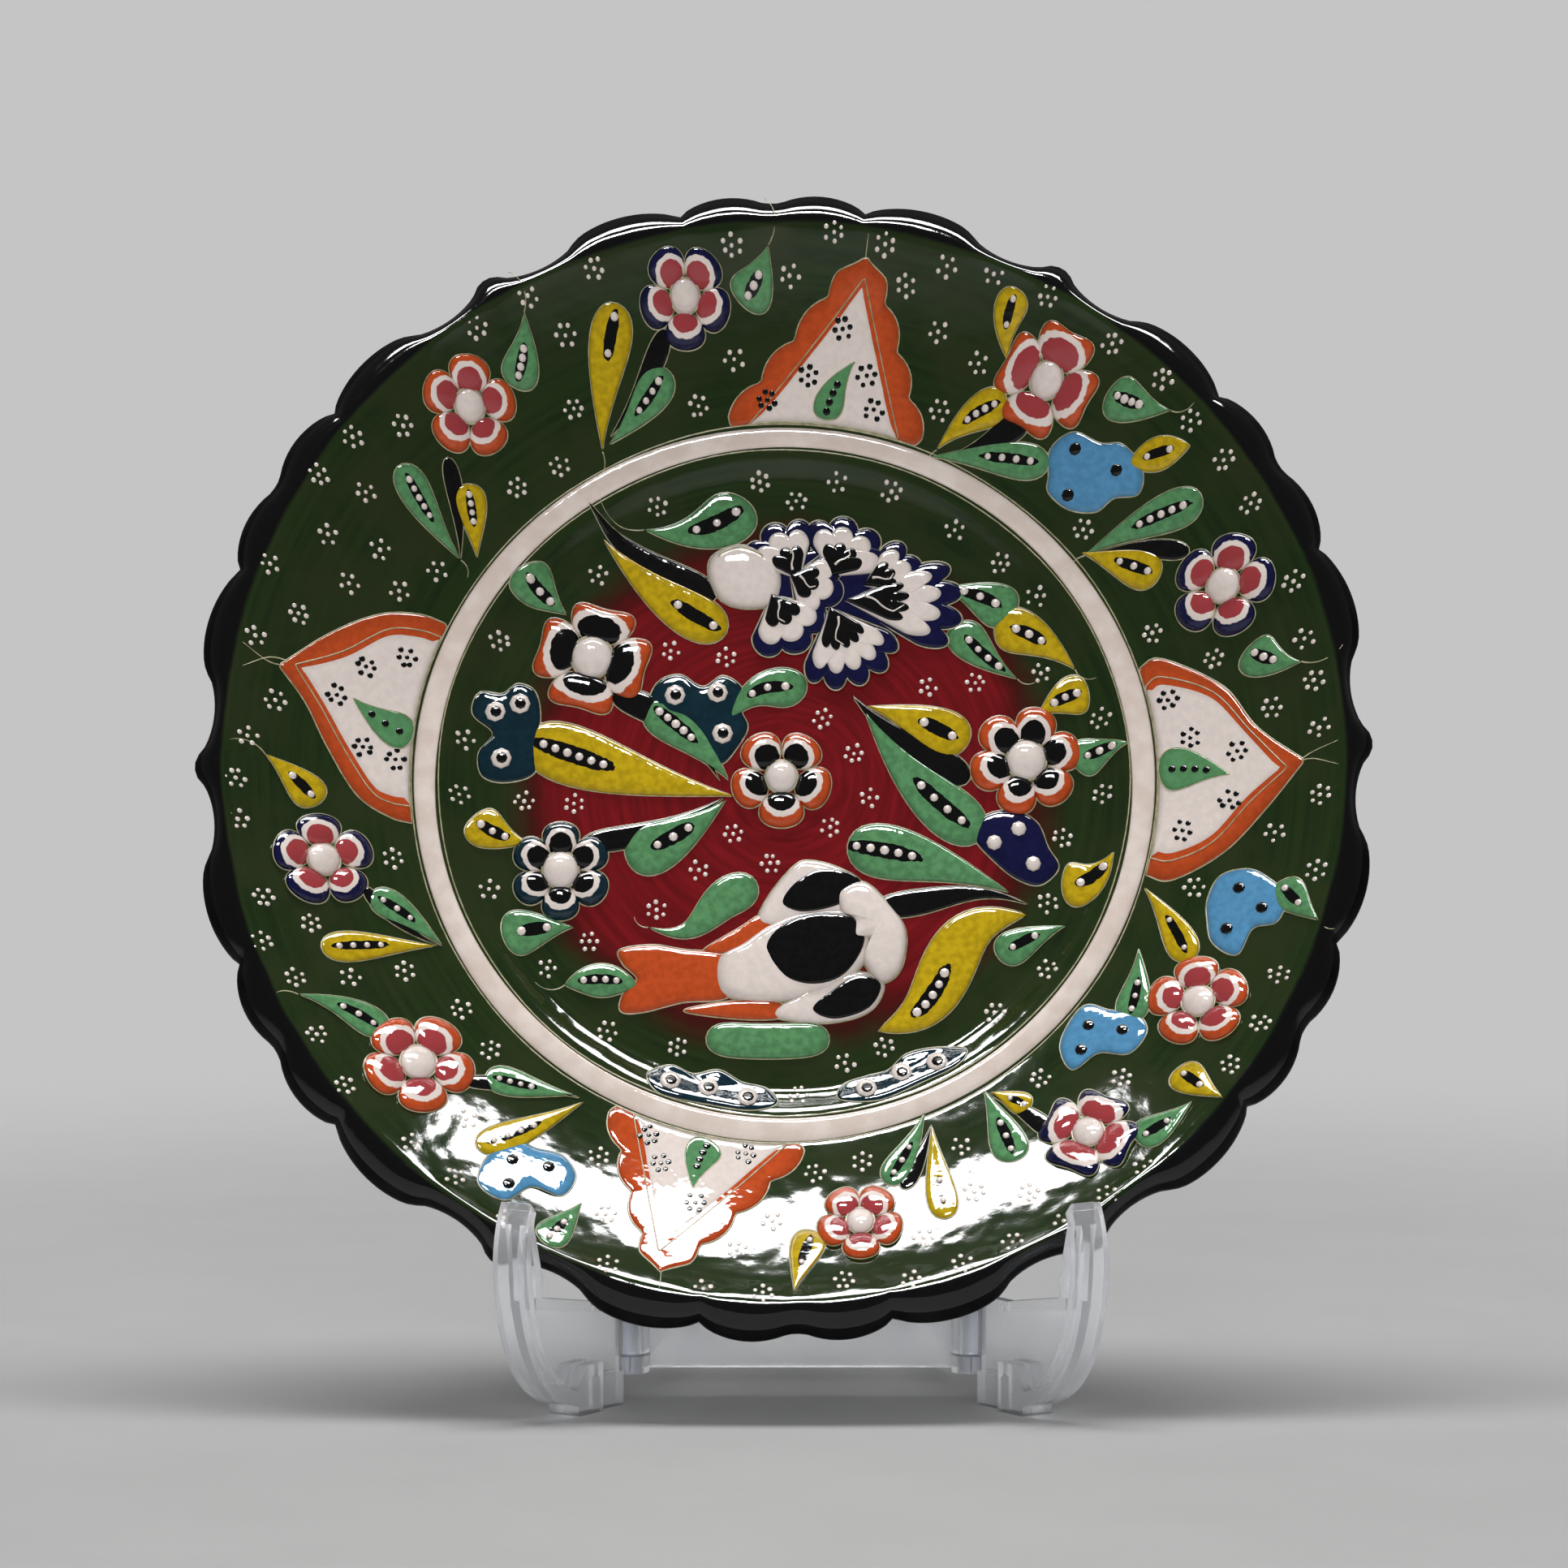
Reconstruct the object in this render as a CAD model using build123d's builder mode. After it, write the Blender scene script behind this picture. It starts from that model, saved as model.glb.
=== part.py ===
"""Hand painted relief plate with a scalloped rim, standing on a clear folding plate stand.

Millimetres, +Z up, the plate's painted face looks towards -Y. The origin is on the table,
under the middle of the whole object. The plate leans back, so it is drawn on its own plane.
"""

import math
import os
from build123d import *

# ---- Driving dimensions of the plate -------------------------------------------------
rim_radius = 91.2            # top of the large and the small lobes
nub_drop = 1.0               # tip of the six small nubs, below the lobes
nub_root_drop = 1.7          # where a nub or a large lobe rises out of the hollow
nub_half_angle = 1.3         # degrees
notch_drop = 2.3             # valley between two lobes
sweep_drop = 3.6             # lowest point of the hollow beside each nub
nub_turn = 1.2               # the whole scallop is turned a little, degrees
sector_count = 6
floor_top = 5.0              # painted face of the well, above the foot
floor_underside = 1.4
well_radius = 46.0
ring_inner = 54.0            # cream ring between the well and the flange
ring_outer = 57.5
ring_height = 8.2
lip_width = 6.7              # from the flange's crest to the top of the lobes
crest_height = 24.2
flange_straightness = 0.6    # 1 is a straight cone, 0 is a full parabola
lip_peak_inset = 3.0         # highest line of the rolled lip, inside the lobes
lip_swell = 0.6              # the rolled lip stands this much above the crest
lip_drop = 3.6
wall = 4.2
foot_outer = 51.0
foot_width = 4.0
blank_margin = 1.8           # plain turned blank that the scallop is cut from

# ---- Driving dimensions of the raised decoration --------------------------------------
enamel_height = 0.9
enamel_key = 0.5             # depth to which the enamel is fused into the glaze
ring_band_height = 0.35

# ---- Driving dimensions of the stand ----------------------------------------------------
lean = 20.0                  # the plate leans back from the vertical, degrees
plate_gap_below = 12.0       # lowest point of the rim above the table
rim_foot_y = -23.892         # where the lowest point of the rim stands, front to back
stand_shift = 2.5            # the stand's middle is a little to the right of the plate's
hinge_half_span = 26.0
hinge_offset = 0.192         # hinge line behind the lowest point of the rim
arm_splay = 35.0             # arms open outwards by this angle in plan
running_gap = 0.06           # radial clearance of the arm's barrel on its pin
side_gap = 0.4
pin_radius = 1.2
pin_head_radius = 2.0
pin_head_height = 1.2
barrel_radius = 3.0
barrel_low = 7.4
barrel_high = 18.6
lug_thickness = 2.6
fin_foot_rise = 6.6          # underside of the fins between their feet and the hinge
panel_thickness = 2.4
web_thickness = 1.6
flange_width = 5.6
flange_thickness = 2.2
ledge_reach = 35.85          # from the plate's middle out to where its rim meets the ledges
ledge_start = 10.0
prong_tuck = 3.849           # the prong hooks the lip this much inside its highest line
prong_lean = 3.0                # the prong leans outwards by this much at its top
prong_foot = 3.0                # upright part of the prong above the ledge
ledge_fall = 2.4                # the ledge falls by this much towards the hinge
strip_thickness = 1.4
strip_slack = 1.6
prong_height = 33.5
foot_block_height = 5.2
fin_toe_in = 7.0             # fins converge towards the back, degrees
fin_length = 76.0
backrest_height = 64.0

nub_radius = rim_radius - nub_drop
nub_root_radius = rim_radius - nub_root_drop
notch_radius = rim_radius - notch_drop
sweep_radius = rim_radius - sweep_drop
crest_radius = rim_radius - lip_width
lip_peak_radius = rim_radius - lip_peak_inset
lip_peak_height = crest_height + lip_swell
blank_radius = rim_radius + blank_margin
lean_radians = math.radians(lean)
plate_axis_y = rim_foot_y + rim_radius * math.sin(lean_radians)
rim_rise_at_ledge = (rim_radius - math.sqrt(rim_radius**2 - ledge_reach**2)) * math.cos(lean_radians)
ledge_height = plate_gap_below + rim_rise_at_ledge
plate_axis_z = (
    plate_gap_below
    + rim_radius * math.cos(lean_radians)
    - (lip_peak_height - lip_drop) * math.sin(lean_radians)
)
plate_plane = Plane(
    origin=(0, plate_axis_y, plate_axis_z),
    x_dir=(1, 0, 0),
    z_dir=(0, -math.cos(lean_radians), math.sin(lean_radians)),
)
plate_axis = Axis(plate_plane.origin, plate_plane.z_dir)
profile_plane = Plane(plate_plane.origin, x_dir=(1, 0, 0), z_dir=plate_plane.y_dir * -1)
foot_inner = foot_outer - foot_width
hinge_y = rim_foot_y + hinge_offset
lip_reach = lip_peak_height * math.cos(lean_radians) / math.cos(math.radians(arm_splay))
prong_inner = lip_reach - prong_tuck

os.makedirs("parts", exist_ok=True)


def flange_height(radius):
    """Height of the painted face of the flange at a radius."""
    share = (radius - ring_outer) / (crest_radius - ring_outer)
    rise = flange_straightness * share + (1 - flange_straightness) * share**2
    return ring_height + (crest_height - ring_height) * rise


def flange_points(offset):
    """Points along the flange, moved along the plate's axis by an offset."""
    stations = [ring_outer, 66.0, 75.0, crest_radius]
    return [(radius, flange_height(radius) + offset) for radius in stations]


def save(part, name):
    """Label a finished piece and write it as its own STEP file."""
    part.label = name
    export_step(part, f"parts/{name}.step")


def polar(radius, angle):
    """Point in the plate's plane from a radius and an angle in degrees."""
    turn = math.radians(angle)
    return (radius * math.cos(turn), radius * math.sin(turn))


def scallop_edges():
    """Arcs of the scalloped rim, sector by sector.

    A sector starts in the middle of a nub. Each half of it is a hollow, a large lobe and
    a small lobe, and the two halves meet in the notch at the sector's middle.
    """
    pitch = 360 / sector_count
    half_arcs = [
        ((nub_half_angle, nub_root_radius), (5.2, sweep_radius), (9.5, nub_root_radius)),
        ((9.5, nub_root_radius), (14.8, rim_radius), (20.6, notch_radius)),
        ((20.6, notch_radius), (25.4, rim_radius), (pitch / 2, notch_radius)),
    ]
    for index in range(sector_count):
        start = index * pitch + nub_turn
        ThreePointArc(
            polar(nub_root_radius, start - nub_half_angle),
            polar(nub_radius, start),
            polar(nub_root_radius, start + nub_half_angle),
        )
        for mirror_sign, base in ((1, start), (-1, start + pitch)):
            for arc in half_arcs:
                ThreePointArc(*[polar(radius, base + mirror_sign * angle) for angle, radius in arc])


def upper_face(offset):
    """Edges of the painted face from the axis to the crest, for the line being built."""
    Line((0, floor_top + offset), (well_radius, floor_top + offset))
    Spline(
        (well_radius, floor_top + offset),
        (ring_inner, ring_height + offset),
        tangents=[(1, 0), (1, 0)],
    )
    Line((ring_inner, ring_height + offset), (ring_outer, ring_height + offset))
    Spline(*flange_points(offset))


def cut_to_enamel(height):
    """Keep only the layer of the piece that lies on the glaze, key included."""
    with BuildSketch(profile_plane) as layer:
        with BuildLine():
            upper_face(height)
            upper_face(-enamel_key)
            Line((0, floor_top - enamel_key), (0, floor_top + height))
            Line(
                (crest_radius, crest_height - enamel_key),
                (crest_radius, crest_height + height),
            )
        make_face()
    revolve(layer.sketch, axis=plate_axis, revolution_arc=360, mode=Mode.INTERSECT)


def leaf(x, y, length, width, turn):
    """One leaf or stem: a pointed drop, tip first, in the plate's plane."""
    with Locations(Location((x, y, 0), (0, 0, turn))):
        with BuildSketch(mode=Mode.PRIVATE) as drop:
            with BuildLine():
                Spline(
                    (-length / 2, 0),
                    (length * 0.2, width / 2),
                    (length / 2, 0),
                    (length * 0.2, -width / 2),
                    (-length / 2, 0),
                    tangents=[(1, 0.3), (-1, 0.3)],
                )
            make_face()
        add(drop.sketch)


def flower(x, y, radius, petals, turn):
    """One blossom: petals set round a small disc."""
    with Locations((x, y)):
        Circle(radius * 0.5)
        with PolarLocations(radius * 0.6, petals, start_angle=turn):
            Circle(radius * 0.38)


# ---- The plate's body: turned blank, then cut to the scallop ----------------------------
with BuildPart() as plate_body:
    with BuildSketch(profile_plane):
        with BuildLine():
            upper_face(0)
            lip_end = (blank_radius, lip_peak_height - lip_drop)
            Spline((crest_radius, crest_height), (lip_peak_radius, lip_peak_height), lip_end)
            lip_under = (blank_radius, lip_peak_height - lip_drop - wall * 0.6)
            Line(lip_end, lip_under)
            Line(lip_under, (crest_radius, crest_height - wall * 1.3))
            Spline(
                (crest_radius, crest_height - wall * 1.3),
                (75.0, flange_height(75.0) - wall * 1.15),
                (66.0, flange_height(66.0) - wall),
                (foot_outer + 2.0, floor_underside + 1.6),
            )
            Line((foot_outer + 2.0, floor_underside + 1.6), (foot_outer, 0))
            Line((foot_outer, 0), (foot_inner, 0))
            Line((foot_inner, 0), (foot_inner - 1.0, floor_underside))
            Line((foot_inner - 1.0, floor_underside), (0, floor_underside))
            Line((0, floor_underside), (0, floor_top))
        make_face()
    revolve(axis=plate_axis, revolution_arc=360)
    with BuildSketch(plate_plane):
        with BuildLine():
            scallop_edges()
        make_face()
    extrude(amount=lip_peak_height + wall, mode=Mode.INTERSECT)
save(plate_body.part, "plate_body")

# ---- Cream ring, a thin fired band on the shoulder between the well and the flange -----
with BuildPart() as cream_ring:
    with BuildSketch(profile_plane):
        with BuildLine():
            Polyline(
                (ring_outer, ring_height),
                (ring_outer, ring_height - enamel_key),
                (ring_inner, ring_height - enamel_key),
                (ring_inner, ring_height),
            )
            ThreePointArc(
                (ring_inner, ring_height),
                ((ring_inner + ring_outer) / 2, ring_height + ring_band_height),
                (ring_outer, ring_height),
            )
        make_face()
    revolve(axis=plate_axis, revolution_arc=360)
save(cream_ring.part, "cream_ring")

# ---- White pointed cartouches that stand on the ring --------------------------------------
cartouche_foot = ring_outer + 0.6
straight_cartouches = {"top_cartouche": (81.2, 83.7, 14.0), "bottom_cartouche": (82.0, 258.5, 14.0)}
ogee_cartouches = {"right_cartouche": (81.0, 0.8, 15.5), "left_cartouche": (79.5, 170.8, 16.0)}

for name, (tip, angle, half_angle) in straight_cartouches.items():
    with BuildPart() as cartouche:
        with BuildSketch(plate_plane):
            with BuildLine():
                ThreePointArc(
                    polar(cartouche_foot, angle - half_angle),
                    polar(cartouche_foot, angle),
                    polar(cartouche_foot, angle + half_angle),
                )
                Polyline(
                    polar(cartouche_foot, angle + half_angle),
                    polar(tip, angle),
                    polar(cartouche_foot, angle - half_angle),
                )
            make_face()
        extrude(amount=lip_peak_height + wall)
        cut_to_enamel(enamel_height)
    save(cartouche.part, name)

for name, (tip, angle, half_angle) in ogee_cartouches.items():
    with BuildPart() as cartouche:
        with BuildSketch(plate_plane):
            with BuildLine():
                ThreePointArc(
                    polar(cartouche_foot, angle - half_angle),
                    polar(cartouche_foot, angle),
                    polar(cartouche_foot, angle + half_angle),
                )
                for side in (-1, 1):
                    Spline(
                        polar(cartouche_foot, angle + side * half_angle),
                        polar(67.0, angle + side * half_angle * 0.72),
                        polar(tip, angle),
                    )
            make_face()
        extrude(amount=lip_peak_height + wall)
        cut_to_enamel(enamel_height)
    save(cartouche.part, name)

# ---- Blossoms: x, y, radius, petals, turn ---------------------------------------------
blossoms = {
    "rim_flowers_orange": [
        (-49, 57.5, 6.6, 5, 90), (41, 62, 7.0, 4, 30), (-55.5, -47, 7.2, 5, 70),
        (63, -37.5, 6.6, 5, 90), (11.5, -71.5, 6.3, 5, 55),
    ],
    "rim_flowers_navy": [
        (-15.5, 75.3, 6.6, 5, 75), (68, 28.6, 7.0, 5, 18), (-70.5, -15, 6.8, 5, 90),
        (46, -58, 6.4, 4, 20),
    ],
    "centre_flower": [(-0.4, 1.0, 7.8, 6, 0)],
    "well_flowers": [(-30, 20.4, 8.2, 4, 60), (-34.6, -14, 7.2, 6, 30), (37.7, 3.7, 8.0, 6, 15)],
}
for name, places in blossoms.items():
    with BuildPart() as blossom:
        with BuildSketch(plate_plane):
            for x, y, radius, petals, turn in places:
                flower(x, y, radius, petals, turn)
        extrude(amount=lip_peak_height + wall)
        cut_to_enamel(enamel_height)
    save(blossom.part, name)

# ---- Leaves, stems and cloud shapes: x, y, length, width, turn ------------------------
foliage = {
    "rim_green_leaves": [
        (-42, 67, 11, 4.6, 90), (-56, 42, 13, 4.2, 122), (-21.5, 61, 10, 4.2, 60),
        (-5, 79, 7.5, 6, 215), (35.5, 49.5, 10, 4.5, 0), (59, 39, 13, 4.2, 20),
        (56, 57.5, 8, 4.6, 160), (75, 17.5, 8, 5, 140), (-59, -24, 10, 4.2, 150),
        (-68, -40.5, 10, 5, 165), (-39, -47, 9, 4.2, 175), (-33, -73, 7, 4.4, 240),
        (17, -59, 9, 3.4, 250), (33, -59, 8, 4.2, 290), (53.5, -33, 9, 4, 105),
        (79, -23, 7, 4.4, 120), (58, -59, 6, 4, 30),
    ],
    "rim_yellow_leaves": [
        (-49, 41, 8, 4, 85), (-27.5, 65, 14, 5, 92), (36, 71, 8, 4.4, 95), (29, 58, 8, 4, 35),
        (58, 48.5, 7, 4.4, 5), (51, 33, 9, 4.6, 155), (-76, -3.5, 9, 5, 140),
        (-62.5, -29, 12, 4.2, 185), (-41, -57, 10, 4, 205), (3, -79.5, 8, 4.2, 258),
        (23.5, -65, 11, 4, 275), (35.5, -51.8, 4, 2.6, 150), (58.5, -23, 11, 3.8, 120),
        (63, -52, 7, 4.6, 150),
    ],
    "rim_black_stems": [(-52.8, 44, 9, 1.8, 90), (-24.5, 66, 6, 1.6, 50), (60, 34.5, 5, 1.6, 10)],
    "rim_blue_clouds": [
        (48, 48.5, 9, 8, 10), (-40, -64.5, 10, 6, 130), (48, -41, 9, 6, 45), (69, -24.5, 8, 8, 60),
    ],
    "well_green_leaves": [
        (-12, 42.5, 13, 7, 10), (-38, 30, 9, 6, 130), (-16, 8, 13, 4.6, 322),
        (-4, 16.5, 9, 4.6, 10), (-19.5, -8, 12, 7, 205), (-37.5, -24, 8.5, 6, 10),
        (-29.5, -32.5, 9, 5, 15), (-9, -20, 10, 5, 225), (-2, -40.5, 16, 5, 0),
        (19, -12, 17, 5, 165), (25, -4, 15, 6, 320), (50, 4.5, 5.5, 5, 0),
        (30, 27.5, 8, 5, 330), (30.5, 20.5, 9, 4.4, 320), (37.5, -26.5, 8, 4, 215),
    ],
    "well_yellow_leaves": [
        (-14, 27.5, 15, 5, 325), (-28, 4, 21, 7, 165), (-44, -6.5, 7, 5, 350),
        (26.5, -30, 18, 7, 235), (22.5, 10, 12, 5, 335), (43.5, 13.5, 6, 4, 10),
        (39.5, 21, 9, 5, 325), (46, -14.5, 8, 5.4, 345),
    ],
    "well_black_stems": [
        (-18, 35, 14, 2.8, 325), (-22, 9, 11, 3, 325), (-25, -6.5, 9, 2.6, 205),
        (26, -18.4, 13, 2.6, 170), (21.5, 4.5, 12, 3, 325),
    ],
    "well_teal_clouds": [
        (-41, 9, 8.5, 7.8, 80), (-12.8, 13.8, 6.8, 5.2, 300), (-11, -48.8, 12, 3.8, 347.3),
        (18.5, -46.5, 13, 3.8, 21.7),
    ],
    "well_navy_cloud": [(36, -11, 11, 8, 320)],
}
for name, places in foliage.items():
    with BuildPart() as greenery:
        with BuildSketch(plate_plane):
            for x, y, length, width, turn in places:
                leaf(x, y, length, width, turn)
        extrude(amount=lip_peak_height + wall)
        cut_to_enamel(enamel_height)
    save(greenery.part, name)

# ---- Carnation and tulip, the two large blooms of the well -------------------------------
with BuildPart() as carnation:
    with BuildSketch(plate_plane):
        with Locations(Location((-5.5, 34.5, 0), (0, 0, 70))):
            Ellipse(4.4, 4.0)
        for x, y, radius in ((2.0, 33.5, 5.0), (9.5, 30.0, 7.0), (17.5, 30.0, 6.5), (3.0, 28.0, 4.0)):
            with Locations((x, y)):
                Circle(radius)
    extrude(amount=lip_peak_height + wall)
    cut_to_enamel(enamel_height * 1.3)
save(carnation.part, "carnation")

with BuildPart() as tulip:
    with BuildSketch(plate_plane):
        with BuildLine():
            Spline(
                (17.0, -25.0),
                (10.0, -17.0),
                (0.0, -17.5),
                (-9.0, -24.5),
                (-23.5, -29.0),
                (-22.5, -36.5),
                (-8.0, -36.0),
                (8.0, -37.0),
                (17.0, -25.0),
                periodic=False,
            )
        make_face()
    extrude(amount=lip_peak_height + wall)
    cut_to_enamel(enamel_height * 1.3)
save(tulip.part, "tulip")

# ---- Beads: a raised white drop in the middle of each blossom -----------------------------
with BuildPart() as flower_centres:
    for places in blossoms.values():
        for x, y, radius, petals, turn in places:
            distance = math.hypot(x, y)
            height = flange_height(distance) if distance > ring_outer else floor_top
            with BuildSketch(plate_plane.offset(height)):
                with Locations((x, y)):
                    Circle(radius * 0.22)
            extrude(amount=enamel_height * 2)
save(flower_centres.part, "flower_centres")


# ---- Clear stand -------------------------------------------------------------------------
def arm_frame(side):
    """Upright plane of one arm: local x runs outwards and forwards from its hinge."""
    splay = math.radians(arm_splay)
    along = Vector(side * math.sin(splay), -math.cos(splay), 0)
    return Plane(
        origin=(stand_shift + side * hinge_half_span, hinge_y, 0),
        x_dir=along,
        z_dir=along.cross(Vector(0, 0, 1)),
    )


def fin_frame(side):
    """Upright plane of one fin: local x runs backwards from its hinge."""
    toe = math.radians(fin_toe_in)
    along = Vector(-side * math.sin(toe), math.cos(toe), 0)
    return Plane(
        origin=(stand_shift + side * hinge_half_span, hinge_y, 0),
        x_dir=along,
        z_dir=along.cross(Vector(0, 0, 1)),
    )


prong_back = prong_inner + flange_thickness * 0.8
ledge_low = ledge_height - ledge_fall
strip_half_width = flange_width * 0.36
bulge = [
    (16.4, 1.4),
    (prong_inner + 1.0, 7.0),
    (prong_inner + 5.4, 18.2),
    (prong_inner + 5.9, 25.6),
    (prong_inner + 3.8, prong_height),
]
bulge_inner = [
    (15.2, 3.4),
    (prong_inner - 0.9, 8.6),
    (prong_inner + 3.2, 18.8),
    (prong_inner + 3.8, 25.6),
    (prong_inner + 2.6, prong_height - 1.4),
]

for side, name in ((-1, "left_arm"), (1, "right_arm")):
    plane = arm_frame(side)
    with BuildPart() as arm:
        with BuildSketch(plane):
            with BuildLine():
                Spline(*bulge)
                Polyline(
                    bulge[-1],
                    (prong_inner + prong_lean, prong_height),
                    (prong_inner, ledge_height + prong_foot),
                    (prong_inner, ledge_height),
                    (ledge_start, ledge_low),
                    (barrel_radius * 0.6, ledge_low),
                    (barrel_radius * 0.6, barrel_low),
                    (barrel_radius + side_gap * 2, barrel_low),
                    (barrel_radius + side_gap * 2, foot_block_height),
                    (13.0, foot_block_height),
                    bulge[0],
                )
            make_face()
        extrude(amount=web_thickness / 2, both=True)
        with BuildSketch(plane):
            with BuildLine():
                Spline(*bulge)
                Spline(*bulge_inner)
                Line(bulge[0], bulge_inner[0])
                Line(bulge[-1], bulge_inner[-1])
            make_face()
        extrude(amount=flange_width / 2, both=True)
        with BuildSketch(plane):
            Polygon(
                (prong_inner + prong_lean, prong_height),
                (prong_inner, ledge_height + prong_foot),
                (prong_inner, ledge_height),
                (prong_back, ledge_height),
                (prong_back, ledge_height + prong_foot),
                (bulge[-1][0], prong_height),
                align=None,
            )
        extrude(amount=strip_half_width, both=True)
        with BuildSketch(plane):
            Polygon(
                (prong_back, ledge_height),
                (prong_inner, ledge_height),
                (ledge_start, ledge_low),
                (ledge_start, ledge_low - strip_thickness),
                (prong_back, ledge_height - strip_slack),
                align=None,
            )
        extrude(amount=strip_half_width, both=True)
        with BuildSketch(plane):
            Polygon((10.6, 0), (16.6, 0), (17.2, 3.6), (15.0, 7.6), (10.6, 7.6), align=None)
        extrude(amount=flange_width / 2, both=True)
        with BuildSketch(plane):
            Polygon(
                (barrel_radius + side_gap * 2, 0),
                (11.0, 0),
                (11.0, foot_block_height),
                (barrel_radius + side_gap * 2, foot_block_height),
                align=None,
            )
        extrude(amount=web_thickness, both=True)
        with BuildSketch(Plane.XY.offset(barrel_low)):
            with Locations(plane.origin):
                Circle(barrel_radius)
        extrude(amount=barrel_high - barrel_low)
        with BuildSketch(Plane.XY.offset(barrel_low)):
            with Locations(plane.origin):
                Circle(pin_radius + running_gap)
        extrude(amount=barrel_high - barrel_low, mode=Mode.SUBTRACT)
    save(arm.part, name)

lower_lug_low = barrel_low - side_gap - lug_thickness
upper_lug_high = barrel_high + side_gap + lug_thickness

with BuildPart() as back_frame:
    with BuildSketch(Plane.XY.offset(lower_lug_low)):
        for side in (-1, 1):
            with Locations((stand_shift + side * hinge_half_span, hinge_y)):
                Circle(barrel_radius)
            with Locations((stand_shift + side * hinge_half_span, hinge_y + barrel_radius)):
                Rectangle(barrel_radius * 2, barrel_radius * 2)
    extrude(amount=lug_thickness)
    with BuildSketch(Plane.XY.offset(barrel_high + side_gap)):
        for side in (-1, 1):
            with Locations((stand_shift + side * hinge_half_span, hinge_y)):
                Circle(barrel_radius)
            with Locations((stand_shift + side * hinge_half_span, hinge_y + barrel_radius)):
                Rectangle(barrel_radius * 2, barrel_radius * 2)
    extrude(amount=lug_thickness)
    with BuildSketch(Plane.XY.offset(lower_lug_low)):
        with Locations((stand_shift, hinge_y + barrel_radius + side_gap + panel_thickness / 2)):
            Rectangle((hinge_half_span + barrel_radius) * 2, panel_thickness)
    extrude(amount=upper_lug_high - lower_lug_low)
    for side in (-1, 1):
        with BuildSketch(fin_frame(side)):
            post = barrel_radius + side_gap
            Polygon(
                (post, lower_lug_low),
                (post, upper_lug_high),
                (post + 1.0, 27.0),
                (post + 11.8, 43.5),
                (post + 19.4, backrest_height),
                (post + 24.0, backrest_height),
                (fin_length - 2.0, 7.0),
                (fin_length, 0),
                (fin_length - 8.0, 0),
                (fin_length - 10.0, fin_foot_rise),
                align=None,
            )
            Polygon(
                (post + 7.0, 12.5),
                (post + 9.0, 27.0),
                (post + 20.0, 50.0),
                (fin_length - 18.0, 12.5),
                align=None,
                mode=Mode.SUBTRACT,
            )
        extrude(amount=panel_thickness / 2, both=True)
    rest_y = hinge_y + barrel_radius + side_gap + 21.6
    with BuildSketch(Plane.XY.offset(backrest_height - 6.0)):
        with Locations((stand_shift, rest_y)):
            Rectangle(hinge_half_span * 2 - 5.0, panel_thickness)
    extrude(amount=6.0)
    with BuildSketch(Plane.XY.offset(lower_lug_low)):
        for side in (-1, 1):
            with Locations((stand_shift + side * hinge_half_span, hinge_y)):
                Circle(pin_radius)
    extrude(amount=upper_lug_high - lower_lug_low, mode=Mode.SUBTRACT)
save(back_frame.part, "back_frame")

for side, name in ((-1, "left_hinge_pin"), (1, "right_hinge_pin")):
    with BuildPart() as hinge_pin:
        with BuildSketch(Plane.XY.offset(lower_lug_low)):
            with Locations((stand_shift + side * hinge_half_span, hinge_y)):
                Circle(pin_radius)
        extrude(amount=upper_lug_high - lower_lug_low)
        with BuildSketch(Plane.XY.offset(upper_lug_high)):
            with Locations((stand_shift + side * hinge_half_span, hinge_y)):
                Circle(pin_head_radius)
        extrude(amount=pin_head_height)
        top_edges = hinge_pin.edges().group_by(Axis.Z)[-1]
        fillet(top_edges, radius=pin_head_height * 0.6)
    save(hinge_pin.part, name)
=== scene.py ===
"""Looks of a hand painted relief plate with a scalloped rim, standing on a clear folding stand.

The plate is drawn on its own plane, in millimetres: x to the right, y up the face, z towards
the viewer from the plane of the foot. Every shape is laid on that face and then seated on the
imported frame, in metres.
"""

from __future__ import annotations

import logging
import math
import random
from dataclasses import dataclass
from enum import Enum

import bpy
import numpy as np
from mathutils import Matrix, Vector


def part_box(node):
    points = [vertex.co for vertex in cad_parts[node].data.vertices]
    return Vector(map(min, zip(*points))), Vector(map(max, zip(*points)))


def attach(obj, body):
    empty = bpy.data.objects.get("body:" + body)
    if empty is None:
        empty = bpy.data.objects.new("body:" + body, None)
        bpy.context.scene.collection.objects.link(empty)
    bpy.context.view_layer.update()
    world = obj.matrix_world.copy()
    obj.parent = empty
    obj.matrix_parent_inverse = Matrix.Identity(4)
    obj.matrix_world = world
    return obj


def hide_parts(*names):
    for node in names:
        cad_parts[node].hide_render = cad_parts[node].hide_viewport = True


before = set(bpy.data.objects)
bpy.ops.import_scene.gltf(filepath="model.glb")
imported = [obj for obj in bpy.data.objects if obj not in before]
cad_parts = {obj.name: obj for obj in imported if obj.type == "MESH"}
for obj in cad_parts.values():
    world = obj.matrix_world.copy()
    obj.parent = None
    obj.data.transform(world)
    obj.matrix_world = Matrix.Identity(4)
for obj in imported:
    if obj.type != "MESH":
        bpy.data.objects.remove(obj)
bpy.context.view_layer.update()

LOG = logging.getLogger("plate")
MM = 0.001
CAD_FLOOR = 0.0
PLATE = "plate"
Point = tuple[float, float]
Colour = tuple[float, float, float]


# ---- Small helpers ------------------------------------------------------------------------


def deselect_all() -> None:
    """Leave edit mode and select nothing."""
    if bpy.context.object and bpy.context.object.mode != "OBJECT":
        bpy.ops.object.mode_set(mode="OBJECT")
    bpy.ops.object.select_all(action="DESELECT")


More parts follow.
